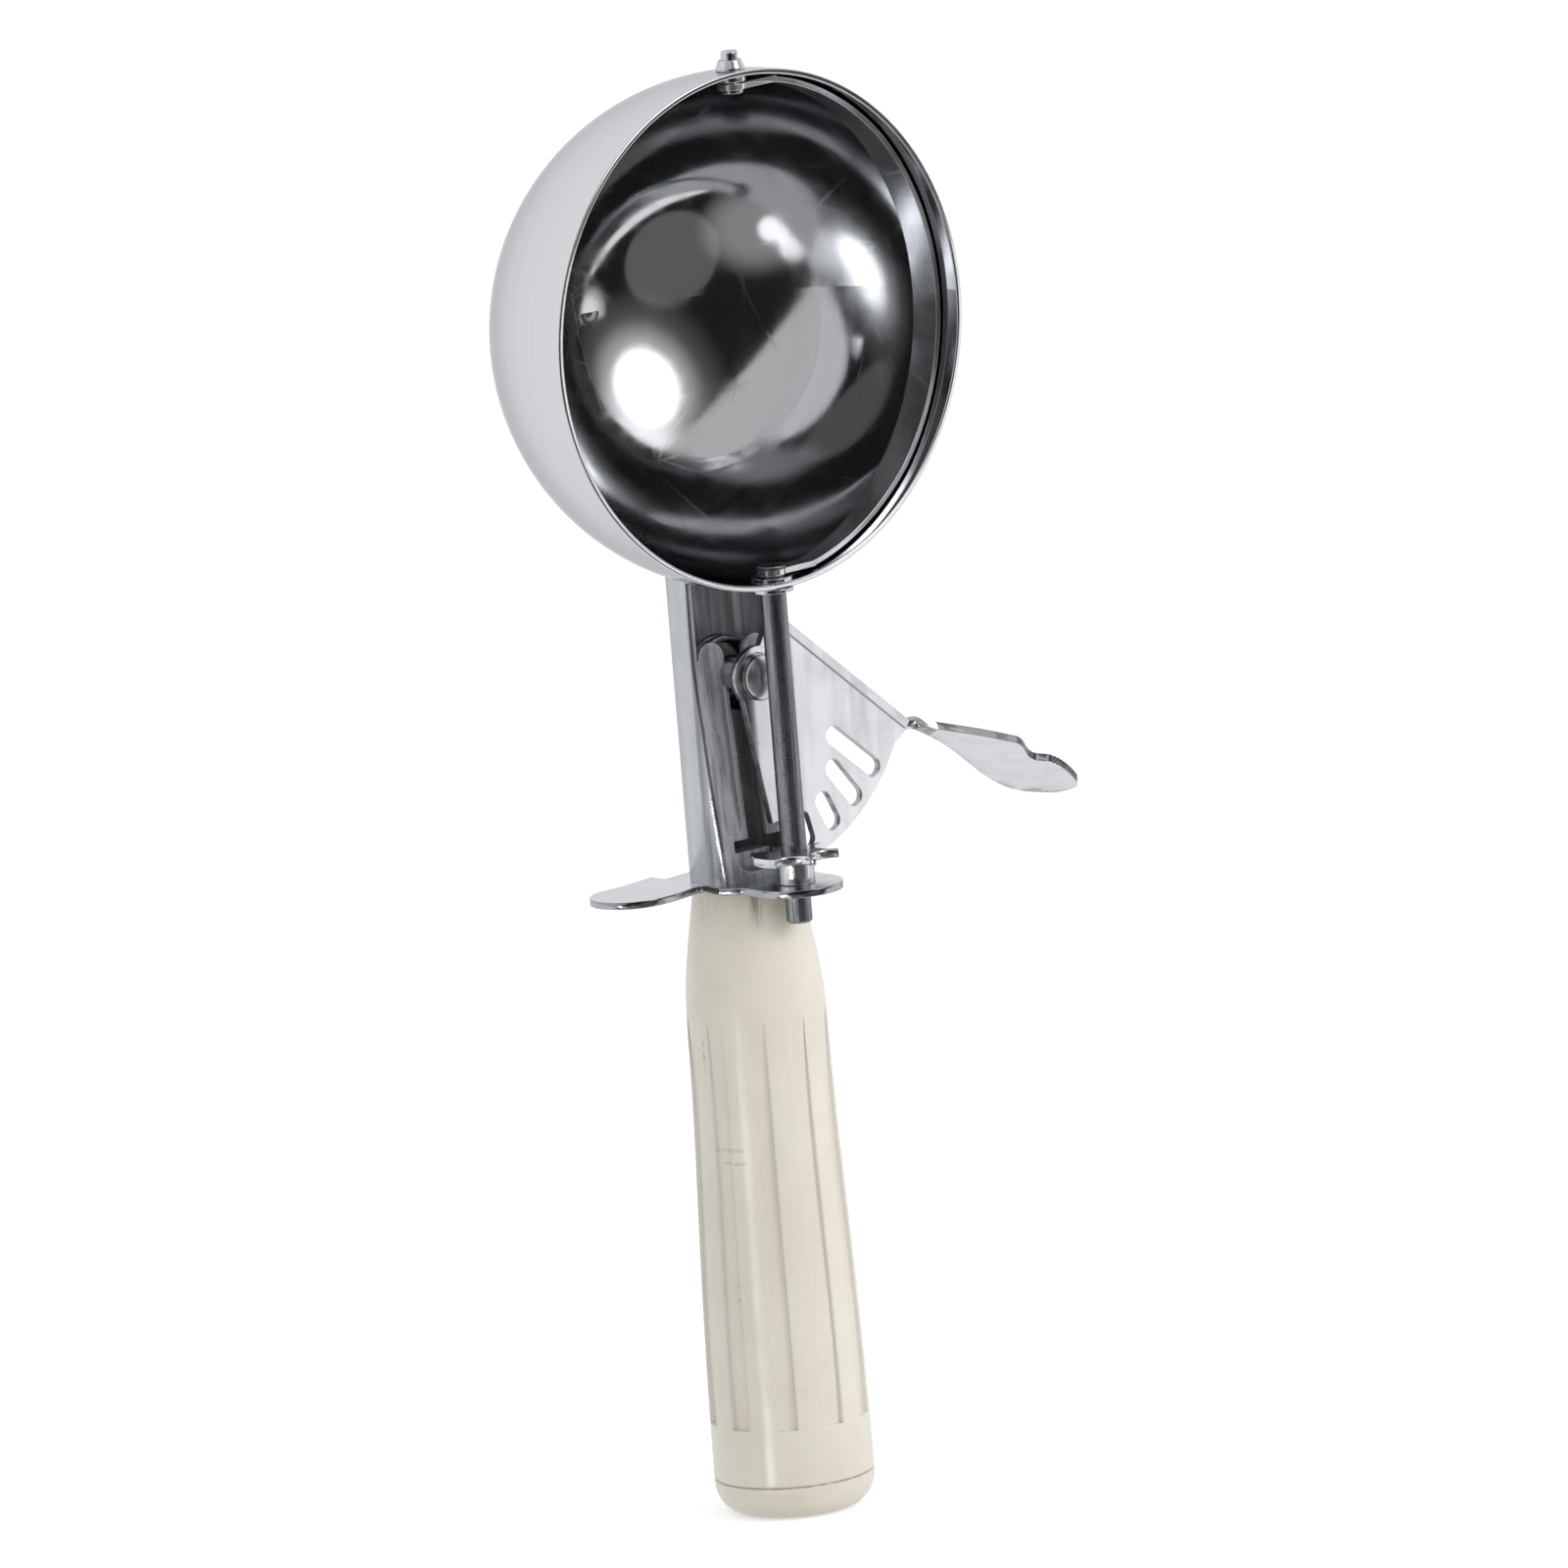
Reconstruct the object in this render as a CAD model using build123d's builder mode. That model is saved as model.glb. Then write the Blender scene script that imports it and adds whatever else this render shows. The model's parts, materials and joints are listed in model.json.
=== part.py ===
from build123d import *
import math
import os

os.makedirs("parts", exist_ok=True)

# Thumb lever ice cream scoop. +Z runs up the handle to the bowl, the bowl opens towards -Y and
# the lever is on +X. The origin is the centre of the handle's flat butt end. All sizes are in mm
# and all angles in degrees.

# Clearances
running_gap = 0.05
seat_gap = 0.03
side_gap = 0.1
part_gap = 0.3

# Layout
grip_length = 98.4
guard_thickness = 1.1
pivot_above_guard = 31.7
bowl_above_pivot = 54.2
spindle_offset = 12.3

# Bowl
bowl_inner_radius = 39.0
bowl_wall = 0.9
bowl_lip = 2.7
rim_round = 0.3

# Top collar and pin
pin_radius = 1.3
pin_rise = 3.0
pin_head_radius = 1.75
pin_head_height = 0.6
pin_tip_round = 0.35
collar_radius = 1.75
collar_flange_radius = 2.2
collar_flange_height = 0.4
collar_height = 1.6
collar_inner_radius = 2.3
collar_inner_depth = 0.8

# Spindle and its bushes
spindle_radius = 2.0
spindle_tail = 5.0
spindle_neck_radius = 1.5
spindle_head_radius = 2.4
spindle_head_height = 0.6
spindle_end_chamfer = 0.3
eyelet_wall = 0.3
eyelet_flange_radius = 3.2
eyelet_flange_height = 0.6
bush_wall = 0.9

# Sweep blade
blade_clearance = 0.45
blade_thickness = 0.8
blade_width = 5.0
blade_end_width = 3.4
blade_taper_height = 26.0
blade_rest_angle = 5.3
tongue_length = 8.0
tongue_width = 4.4
tongue_thickness = 0.9

# Pinion and its sleeve
pinion_thickness = 1.4
pinion_tip_radius = 6.8
pinion_pitch_angle = 60.0
pinion_teeth = 4
first_tooth_angle = 13.4
rest_notch_share = 0.45
tooth_tip_width = 0.7
notch_centre_radius = 7.2
sleeve_radius = 2.9
mesh_drop = 27.5

# Shank
shank_radius = 8.5
shank_wall = 1.0
front_foot = 4.4
front_top = 1.6
front_bend_height = 34.5
flange_thickness = 1.0
flange_gap = 4.0
flange_width = 4.9
flange_top = 37.3
flange_bottom = 6.5
window_width = 9.8
window_sill = 1.3
window_corner = 3.3
recess_depth = 0.3
recess_border = 0.6

# Guard plate
lobe_radius = 7.1
foot_radius = 10.5
wing_reach = 28.5
wing_half_width = 6.45
wing_offset = 0.65
wing_rise = 1.0
wing_ramp_start = 9.0
wing_ramp_end = 11.5
wing_waist = 12.7
wing_waist_half_width = 4.85

# Lever
lever_thickness = 1.2
lever_behind_spindle = 4.9
lever_hub_radius = 4.8
hub_corner_angle = 172.8
hub_side_angle = -45.0
notch_step_angle = 1.0
notch_step = 1.0
lever_rim_radius = 30.8
lever_rim_end_radius = 29.7
lever_rim_end_angle = 60.0
lever_pitch_angle = 11.7
lever_notch_angle = 2.7
slot_width = 3.0
notch_inner_radius = 22.8
slot_outer_radius = 28.9
slot_inner_radii = (22.8, 22.2, 19.6, 16.4)
top_edge_offset = 9.73
top_edge_angle = 40.7
top_corner_distance = -3.6
neck_distance = 29.6
neck_angle = 64.6
neck_radius = 31.1
lip_width = 1.4
lip_height = 0.35
neck_length = 1.5
pad_twist = 67.0
pad_length = 35.6
pad_thickness = 1.2
pad_near_width = 7.95
pad_far_width = 5.0
pad_near_start = 2.3
pad_far_start = 0.7
pad_rise = 0.1
pad_rise_share = 0.3
pad_dish = 0.3
pad_dish_share = 0.6
pad_lift_share = 0.8
pad_tip_lift = 0.3
pad_tip_slope = 0.1
pad_step_outline = ((0.442, 1.0), (0.509, 0.902), (0.58, 0.73), (0.626, 0.704), (0.675, 0.82))
pad_near_tip = ((0.742, 0.83), (0.845, 0.686), (0.935, 0.491), (1.0, 0.2))
pad_far_tip = ((0.997, 0.0), (0.971, 0.39), (0.918, 0.64), (0.862, 0.87), (0.771, 1.0), (0.661, 0.92))
pad_far_back = (0.355, 0.35)
rib_start = 10.0
rib_count = 10
rib_spacing = 0.9
rib_cut_radius = 0.3
rib_cut_depth = 0.2

# Rivet, spacer and washer
rivet_radius = 2.0
rivet_head_radius = 3.4
rivet_head_height = 1.3
rivet_edge_height = 0.4
rivet_shoulder_height = 1.04
rivet_shoulder_radius = 2.3
rivet_tail_radius = 3.0
rivet_tail_height = 0.8
rivet_tail_edge = 0.32
rivet_tail_face_radius = 2.1
spacer_wall = 0.8
washer_radius = 3.7
washer_thickness = 0.5

# Return spring
wire_diameter = 1.2
coil_radius = 5.2
coil_pitch = 1.65
coil_full_turns = 2
leg_angle = 20.0
leg_bend = 1.75
wire_samples = 400

# Grip, cap and tang
grip_top_radius = 8.2
grip_neck_radius = 9.43
grip_neck_drop = 7.2
grip_shoulder_radius = 10.55
grip_shoulder_drop = 15.5
grip_belly_radius = 10.92
grip_belly_drop = 28.4
grip_middle_radius = 11.6
grip_middle_height = 46.0
grip_butt_radius = 12.4
cap_height = 5.5
cap_flat_radius = 7.6
cap_shoulder_radius = 11.3
cap_shoulder_height = 1.65
seam_chamfer = 0.22
spigot_radius = 5.0
spigot_length = 6.0
flute_count = 10
flute_angle = 15.0
flute_phase = -131.6
flute_depth = 0.6
flute_bottom = 14.5
flute_top_drop = 19.4
flute_top_depth = 0.42
crease_angle = -121.0
crease_width = 1.7
crease_depth = 1.1
crease_length = 6.0
crease_foot_width = 0.57
tang_width = 8.0
tang_thickness = 3.0
tang_in_grip = 58.0
tang_in_shank = 4.0
tang_chamfer = 0.5

# Heights and places that follow from the sizes
guard_top = grip_length + guard_thickness
pivot_height = guard_top + pivot_above_guard
bowl_height = pivot_height + bowl_above_pivot
spindle_y = -spindle_offset
bowl_outer_radius = bowl_inner_radius + bowl_wall
bowl_top = bowl_height + bowl_outer_radius
bowl_bottom = bowl_height - bowl_outer_radius
tongue_reach = bowl_inner_radius - collar_inner_depth - part_gap
tongue_underside = bowl_height - tongue_reach
eyelet_radius = spindle_radius + running_gap + eyelet_wall
bush_radius = spindle_radius + running_gap + bush_wall
pinion_bottom = pivot_height - mesh_drop - pinion_thickness / 2
lever_front = spindle_y + lever_behind_spindle
lever_back = lever_front + lever_thickness
lever_rim_middle_radius = (lever_rim_radius + lever_rim_end_radius) / 2
spacer_radius = rivet_radius + seat_gap + spacer_wall

spindle_axis = Axis((0, spindle_y, 0), (0, 0, 1))
spindle_side = Plane(origin=(0, spindle_y, 0), x_dir=(1, 0, 0), z_dir=(0, -1, 0))


def inner_wall(radius):
    """Height of the bowl's inner wall over its centre, at a distance from the spindle's axis."""
    return math.sqrt(bowl_inner_radius**2 - radius**2)


# Bowl: a round cup with a short straight lip
with BuildPart() as bowl:
    with BuildSketch(Plane((0, spindle_y, bowl_height))):
        with BuildLine():
            CenterArc((0, 0), bowl_outer_radius, 0, 90)
            CenterArc((0, 0), bowl_inner_radius, 0, 90)
            Line((0, bowl_inner_radius), (0, bowl_outer_radius))
            Polyline(
                (bowl_outer_radius, 0),
                (bowl_outer_radius, -bowl_lip),
                (bowl_inner_radius, -bowl_lip),
                (bowl_inner_radius, 0),
            )
        make_face()
    revolve(axis=Axis((0, spindle_y, bowl_height), (0, 1, 0)))
    fillet(bowl.edges().group_by(Axis.Y)[0], rim_round)
    with BuildSketch(Plane((0, spindle_y, bowl_height))):
        Circle(collar_radius + seat_gap)
    extrude(amount=bowl_outer_radius + part_gap, mode=Mode.SUBTRACT)
    with BuildSketch(Plane((0, spindle_y, bowl_height))):
        Circle(eyelet_radius + seat_gap)
    extrude(amount=-bowl_outer_radius - part_gap, mode=Mode.SUBTRACT)
bowl.part.label = "bowl"

# Top collar: eyelet through the bowl's top, flared outside and clinched inside
with BuildPart() as top_collar:
    with BuildSketch(spindle_side):
        with BuildLine():
            Polyline(
                (pin_radius + running_gap, bowl_height + bowl_inner_radius - collar_inner_depth),
                (collar_inner_radius, bowl_height + bowl_inner_radius - collar_inner_depth),
                (collar_inner_radius, bowl_height + inner_wall(collar_inner_radius)),
                (collar_radius, bowl_height + inner_wall(collar_inner_radius)),
                (collar_radius, bowl_top),
                (collar_flange_radius, bowl_top),
                (collar_flange_radius, bowl_top + collar_flange_height),
                (collar_radius, bowl_top + collar_height),
                (pin_radius + running_gap, bowl_top + collar_height),
                close=True,
            )
        make_face()
    revolve(axis=spindle_axis)
top_collar.part.label = "top_collar"

# Top pin: turns in the collar and is riveted to the blade
pin_foot = bowl_height + tongue_reach - tongue_thickness
with BuildPart() as top_pin:
    with BuildSketch(Plane((0, spindle_y, pin_foot))):
        Circle(pin_radius)
    extrude(amount=bowl_top + pin_rise - pin_foot)
    fillet(top_pin.edges().group_by(Axis.Z)[-1], pin_tip_round)
    with BuildSketch(Plane((0, spindle_y, pin_foot))):
        Circle(pin_head_radius)
    extrude(amount=-pin_head_height)
top_pin.part.label = "top_pin"

# Bottom bush: eyelet at the bowl's bottom that the spindle turns in
with BuildPart() as bottom_bush:
    with BuildSketch(spindle_side):
        with BuildLine():
            Polyline(
                (spindle_radius + running_gap, bowl_height - bowl_inner_radius + collar_inner_depth),
                (eyelet_flange_radius, bowl_height - bowl_inner_radius + collar_inner_depth),
                (eyelet_flange_radius, bowl_height - inner_wall(eyelet_flange_radius)),
                (eyelet_radius, bowl_height - inner_wall(eyelet_flange_radius)),
                (eyelet_radius, bowl_bottom),
                (eyelet_flange_radius, bowl_bottom),
                (eyelet_flange_radius, bowl_bottom - eyelet_flange_height),
                (spindle_radius + running_gap, bowl_bottom - eyelet_flange_height),
                close=True,
            )
        make_face()
    revolve(axis=spindle_axis)
bottom_bush.part.label = "bottom_bush"

# Sweep blade: half ring with a flat eye at each end, just behind the lip on the lever's side
blade_outer_radius = bowl_inner_radius - blade_clearance
blade_inner_radius = blade_outer_radius - blade_thickness
blade_out = Vector(math.cos(math.radians(blade_rest_angle)), math.sin(math.radians(blade_rest_angle)), 0)
blade_across = Vector(-blade_out.Y, blade_out.X, 0)
blade_side = Plane(origin=(0, spindle_y, bowl_height), x_dir=blade_out, z_dir=blade_across * -1)
blade_front = Plane(origin=(0, spindle_y, bowl_height), x_dir=blade_across, z_dir=blade_out)

with BuildPart() as sweep_blade:
    with BuildSketch(blade_side):
        with BuildLine():
            CenterArc((0, 0), blade_outer_radius, -90, 180)
            CenterArc((0, 0), blade_inner_radius, -90, 180)
            Line((0, blade_inner_radius), (0, blade_outer_radius))
            Line((0, -blade_inner_radius), (0, -blade_outer_radius))
        make_face()
    extrude(amount=blade_width / 2, both=True)
    with BuildSketch(blade_front):
        with BuildLine():
            Polyline(
                (blade_end_width / 2, tongue_reach),
                (blade_width / 2, blade_taper_height),
                (blade_width / 2, -blade_taper_height),
                (blade_end_width / 2, -tongue_reach),
                (-blade_end_width / 2, -tongue_reach),
                (-blade_width / 2, -blade_taper_height),
                (-blade_width / 2, blade_taper_height),
                (-blade_end_width / 2, tongue_reach),
                close=True,
            )
        make_face()
    extrude(amount=bowl_inner_radius, mode=Mode.INTERSECT)
    for tongue_bottom in (tongue_reach - tongue_thickness, -tongue_reach):
        with BuildSketch(Plane(origin=(0, spindle_y, bowl_height + tongue_bottom), x_dir=blade_out)):
            Circle(tongue_width / 2)
            with Locations((tongue_length / 2, 0)):
                Rectangle(tongue_length, blade_end_width)
        extrude(amount=tongue_thickness)
    with BuildSketch(Plane((0, spindle_y, bowl_height))):
        Circle(pin_radius + seat_gap)
    extrude(amount=bowl_inner_radius, mode=Mode.SUBTRACT)
    with BuildSketch(Plane((0, spindle_y, bowl_height))):
        Circle(spindle_neck_radius + seat_gap)
    extrude(amount=-bowl_inner_radius, mode=Mode.SUBTRACT)
sweep_blade.part.label = "sweep_blade"

# Spindle: rod from below the guard to the blade's lower eye, with a riveted head there
spindle_bottom = grip_length - spindle_tail
with BuildPart() as spindle:
    with BuildSketch(Plane((0, spindle_y, spindle_bottom))):
        Circle(spindle_radius)
    extrude(amount=tongue_underside - spindle_bottom)
    chamfer(spindle.edges().group_by(Axis.Z)[0], spindle_end_chamfer)
    with BuildSketch(Plane((0, spindle_y, tongue_underside))):
        Circle(spindle_neck_radius)
    extrude(amount=tongue_thickness)
    with BuildSketch(Plane((0, spindle_y, tongue_underside + tongue_thickness))):
        Circle(spindle_head_radius)
    extrude(amount=spindle_head_height)
    fillet(spindle.edges().group_by(Axis.Z)[-1], spindle_head_height / 2)
spindle.part.label = "spindle"

# Pinion: star wheel with pointed teeth, concave flanks and one plain sector.
# Its angles run from straight back of the spindle, towards the lever's side.
tooth_half_angle = math.degrees(tooth_tip_width / 2 / pinion_tip_radius)


def notch_radius(half_angle):
    """Radius of the round notch that cuts the rim at half_angle on each side of its middle."""
    across = pinion_tip_radius * math.sin(math.radians(half_angle))
    along = notch_centre_radius - pinion_tip_radius * math.cos(math.radians(half_angle))
    return math.hypot(across, along)


def from_back(angle):
    """Centre of the round notch at an angle from straight back of the spindle."""
    turned = math.radians(angle)
    return (notch_centre_radius * math.sin(turned), notch_centre_radius * math.cos(turned))


rest_half_angle = rest_notch_share * pinion_pitch_angle
last_tooth_angle = first_tooth_angle + (pinion_teeth - 1) * pinion_pitch_angle
with BuildPart() as pinion:
    with BuildSketch(Plane((0, spindle_y, pinion_bottom))):
        Circle(pinion_tip_radius)
        for tooth in range(pinion_teeth - 1):
            with Locations(from_back(first_tooth_angle + (tooth + 0.5) * pinion_pitch_angle)):
                Circle(notch_radius(pinion_pitch_angle / 2 - tooth_half_angle), mode=Mode.SUBTRACT)
        for end_notch_angle in (first_tooth_angle - rest_half_angle, last_tooth_angle + rest_half_angle):
            with Locations(from_back(end_notch_angle)):
                Circle(notch_radius(rest_half_angle - tooth_half_angle), mode=Mode.SUBTRACT)
        Circle(spindle_radius + seat_gap, mode=Mode.SUBTRACT)
    extrude(amount=pinion_thickness)
pinion.part.label = "pinion"

# Sleeve between the pinion and the guard
with BuildPart() as pinion_sleeve:
    with BuildSketch(Plane((0, spindle_y, guard_top + side_gap))):
        Circle(sleeve_radius)
        Circle(spindle_radius + seat_gap, mode=Mode.SUBTRACT)
    extrude(amount=pinion_bottom - guard_top - side_gap)
pinion_sleeve.part.label = "pinion_sleeve"

# Guard bush: ring in the guard's lobe that the spindle turns in
with BuildPart() as guard_bush:
    with BuildSketch(Plane((0, spindle_y, grip_length))):
        Circle(bush_radius)
        Circle(spindle_radius + running_gap, mode=Mode.SUBTRACT)
    extrude(amount=guard_thickness)
guard_bush.part.label = "guard_bush"

# Guard plate: lobe round the spindle, foot under the shank and a finger rest one step higher
wing_tip = -wing_reach + wing_half_width
with BuildPart() as guard_plate:
    with BuildSketch(Plane.XZ):
        with BuildLine():
            Polyline(
                (2 * foot_radius, grip_length),
                (-wing_ramp_start, grip_length),
                (-wing_ramp_end, grip_length + wing_rise),
                (-2 * wing_reach, grip_length + wing_rise),
                (-2 * wing_reach, guard_top + wing_rise),
                (-wing_ramp_end, guard_top + wing_rise),
                (-wing_ramp_start, guard_top),
                (2 * foot_radius, guard_top),
                close=True,
            )
        make_face()
    extrude(amount=2 * spindle_offset, both=True)
    with BuildSketch(Plane.XY.offset(grip_length)):
        with BuildLine():
            ThreePointArc(
                (wing_tip, wing_offset + wing_half_width),
                (-wing_reach, wing_offset),
                (wing_tip, wing_offset - wing_half_width),
            )
            Spline(
                (wing_tip, wing_offset - wing_half_width),
                (-wing_waist, wing_offset - wing_waist_half_width),
                (-lobe_radius, spindle_y + lobe_radius / 2),
                tangents=((1, 0), (0, -1)),
            )
            Polyline(
                (-lobe_radius, spindle_y + lobe_radius / 2),
                (0, spindle_y + lobe_radius / 2),
                (0, foot_radius),
            )
            Spline(
                (0, foot_radius),
                (wing_tip, wing_offset + wing_half_width),
                tangents=((-1, 0), (-1, 0)),
            )
        make_face()
        with Locations((0, spindle_y)):
            Circle(lobe_radius)
        with Locations((0, spindle_y / 2)):
            Rectangle(2 * lobe_radius, spindle_offset)
        Circle(foot_radius)
    extrude(amount=guard_thickness + wing_rise, mode=Mode.INTERSECT)
    with BuildSketch(Plane.XY.offset(grip_length)):
        with Locations((0, spindle_y)):
            Circle(bush_radius + seat_gap)
        Rectangle(tang_width + 2 * seat_gap, tang_thickness + 2 * seat_gap)
    extrude(amount=guard_thickness, mode=Mode.SUBTRACT)
guard_plate.part.label = "guard_plate"

# Shank: round backed channel with a leaning open front and two inward flanges
front_lean = math.degrees(math.atan((front_foot - front_top) / front_bend_height))
front_plane = Plane(
    origin=(0, -front_foot, guard_top),
    x_dir=(1, 0, 0),
    z_dir=(0, -math.cos(math.radians(front_lean)), math.sin(math.radians(front_lean))),
)
flange_middle = (flange_gap + flange_width) / 2
flange_tip_height = flange_top - flange_width / 2
side_width = shank_radius - window_width / 2

with BuildPart() as front_flanges:
    with BuildSketch(front_plane):
        with Locations((0, (window_sill + window_corner) / 2)):
            Rectangle(2 * shank_radius, window_sill + window_corner)
        with Locations((0, window_sill + flange_top / 2)):
            RectangleRounded(window_width, flange_top, window_corner, mode=Mode.SUBTRACT)
        for side in (-1, 1):
            with Locations((side * (window_width + side_width) / 2, flange_tip_height / 2)):
                Rectangle(side_width, flange_tip_height)
            with Locations((side * flange_middle, (flange_bottom + flange_tip_height) / 2)):
                Rectangle(flange_width, flange_tip_height - flange_bottom)
            with Locations((side * flange_middle, flange_tip_height)):
                Circle(flange_width / 2)
    extrude(amount=-flange_thickness)
    with BuildSketch(Plane.XY.offset(guard_top)):
        Circle(shank_radius - shank_wall / 2)
    extrude(amount=2 * flange_top, mode=Mode.INTERSECT)
    with BuildSketch(front_plane):
        with Locations(*[(side * flange_middle, (flange_bottom + flange_top) / 2) for side in (-1, 1)]):
            SlotOverall(flange_top - flange_bottom - 2 * recess_border, flange_width - 2 * recess_border, 90)
    extrude(amount=-recess_depth, mode=Mode.SUBTRACT)

with BuildPart() as shank:
    with BuildSketch(Plane.XY.offset(guard_top)):
        Circle(shank_radius)
        Circle(shank_radius - shank_wall, mode=Mode.SUBTRACT)
    extrude(amount=bowl_height - guard_top - bowl_inner_radius / 2)
    with BuildSketch(Plane.YZ):
        with BuildLine():
            Polyline(
                (-front_foot, guard_top),
                (-front_top, guard_top + front_bend_height),
                (-front_top, bowl_height),
                (-2 * shank_radius, bowl_height),
                (-2 * shank_radius, guard_top),
                close=True,
            )
        make_face()
    extrude(amount=2 * shank_radius, both=True, mode=Mode.SUBTRACT)
    add(front_flanges.part)
    with BuildSketch(Plane.YZ):
        with BuildLine():
            CenterArc((spindle_y, bowl_height), bowl_outer_radius + seat_gap, -90, 180)
            Line(
                (spindle_y, bowl_height - bowl_outer_radius - seat_gap),
                (spindle_y, bowl_height + bowl_outer_radius + seat_gap),
            )
        make_face()
    revolve(axis=Axis((0, spindle_y, bowl_height), (0, 0, 1)), mode=Mode.SUBTRACT)
    with BuildSketch(Plane.XZ):
        with Locations((0, pivot_height)):
            Circle(rivet_radius + seat_gap)
    extrude(amount=-2 * shank_radius, mode=Mode.SUBTRACT)
    with BuildSketch(Plane.XZ):
        with Locations((0, pivot_height)):
            Circle(spacer_radius + seat_gap)
    extrude(amount=2 * shank_radius, mode=Mode.SUBTRACT)
shank.part.label = "shank"

# Tang: flat bar that carries the grip, from inside the shank's foot down into the grip
with BuildPart() as tang:
    with BuildSketch(Plane.XY.offset(grip_length - tang_in_grip)):
        Rectangle(tang_width, tang_thickness)
    extrude(amount=tang_in_grip + guard_thickness + tang_in_shank)
    chamfer(tang.edges().group_by(Axis.Z)[0], tang_chamfer)
tang.part.label = "tang"

# Thumb lever: slotted fan plate, twisted neck and dished thumb pad, pressed from one sheet
lever_face = Plane(origin=(0, lever_back, pivot_height), x_dir=(1, 0, 0), z_dir=(0, -1, 0))
top_edge_slope = math.radians(top_edge_angle)


def from_below(angle, radius):
    """Point on the lever at an angle from straight below the pivot, towards the thumb pad."""
    return (radius * math.sin(math.radians(angle)), -radius * math.cos(math.radians(angle)))


def on_top_edge(distance, inset=0.0):
    """Point on the lever's straight top edge, or inset from it towards the pivot."""
    reach = top_edge_offset - inset
    return (
        reach * math.sin(top_edge_slope) + distance * math.cos(top_edge_slope),
        reach * math.cos(top_edge_slope) - distance * math.sin(top_edge_slope),
    )


neck_low = Vector(*from_below(neck_angle, neck_radius))
neck_high = Vector(*on_top_edge(neck_distance))
neck_middle = (neck_low + neck_high) * 0.5
neck_start_width = (neck_high - neck_low).length
pad_start_width = pad_near_start - pad_far_start
neck_up = Vector(neck_high.X - neck_low.X, 0, neck_high.Y - neck_low.Y).normalized()
pad_out = Vector(neck_up.Z, 0, -neck_up.X)
neck_start = Vector(neck_middle.X, (lever_front + lever_back) / 2, pivot_height + neck_middle.Y)
neck_end = neck_start + pad_out * neck_length


def across_neck(turn):
    """Direction across the strip once it has twisted by turn, from upright towards the bowl's open side."""
    return neck_up * math.cos(math.radians(turn)) - Vector(0, 1, 0) * math.sin(math.radians(turn))


pad_across = across_neck(pad_twist)
pad_up = pad_across.cross(pad_out)
pad_reach = pad_length - neck_length
pad_tip = pad_reach + pad_thickness
pad_face = Plane(origin=neck_end - pad_up * 2 * pad_near_width, x_dir=pad_out, z_dir=pad_up)
pad_edge = Plane(origin=neck_end, x_dir=pad_out, z_dir=pad_across)


def pad_line(offset):
    """Side view of the pad, offset from its middle: a low rise, the dish for the thumb and the lifted tip."""
    return (
        (0, offset),
        (pad_rise_share * pad_reach, offset + pad_rise),
        (pad_dish_share * pad_reach, offset - pad_dish),
        (pad_lift_share * pad_reach, offset - pad_dish / 2),
        (pad_tip, offset + pad_tip_lift),
    )


with BuildPart() as thumb_pad:
    with BuildSketch(pad_edge):
        with BuildLine():
            upper_side = Spline(*pad_line(pad_thickness / 2), tangents=((1, 0), (1, pad_tip_slope)))
            lower_side = Spline(*pad_line(-pad_thickness / 2), tangents=((1, 0), (1, pad_tip_slope)))
            Line(upper_side @ 0, lower_side @ 0)
            Line(upper_side @ 1, lower_side @ 1)
        make_face()
    extrude(amount=2 * pad_near_width, both=True)
    with BuildSketch(pad_face):
        with BuildLine():
            pad_outline = Spline(
                *[(along * pad_reach, -across * pad_near_width) for along, across in pad_step_outline],
                *[(along * pad_reach, -across * pad_near_width) for along, across in pad_near_tip],
                *[(along * pad_reach, across * pad_far_width) for along, across in pad_far_tip],
                (pad_far_back[0] * pad_reach, pad_far_back[1] * pad_far_width),
                (0, -pad_far_start),
            )
            Polyline(pad_outline @ 1, (0, -pad_near_start), pad_outline @ 0)
        make_face()
    extrude(amount=4 * pad_near_width, mode=Mode.INTERSECT)
    with BuildSketch(pad_face):
        for rib in range(rib_count):
            along_edge = (rib_start + rib * rib_spacing) / pad_outline.length
            outward = (pad_outline % along_edge).rotate(Axis.Z, -90)
            with Locations(pad_outline @ along_edge + outward * (rib_cut_radius - rib_cut_depth)):
                Circle(rib_cut_radius)
    extrude(amount=4 * pad_near_width, mode=Mode.SUBTRACT)

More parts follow.
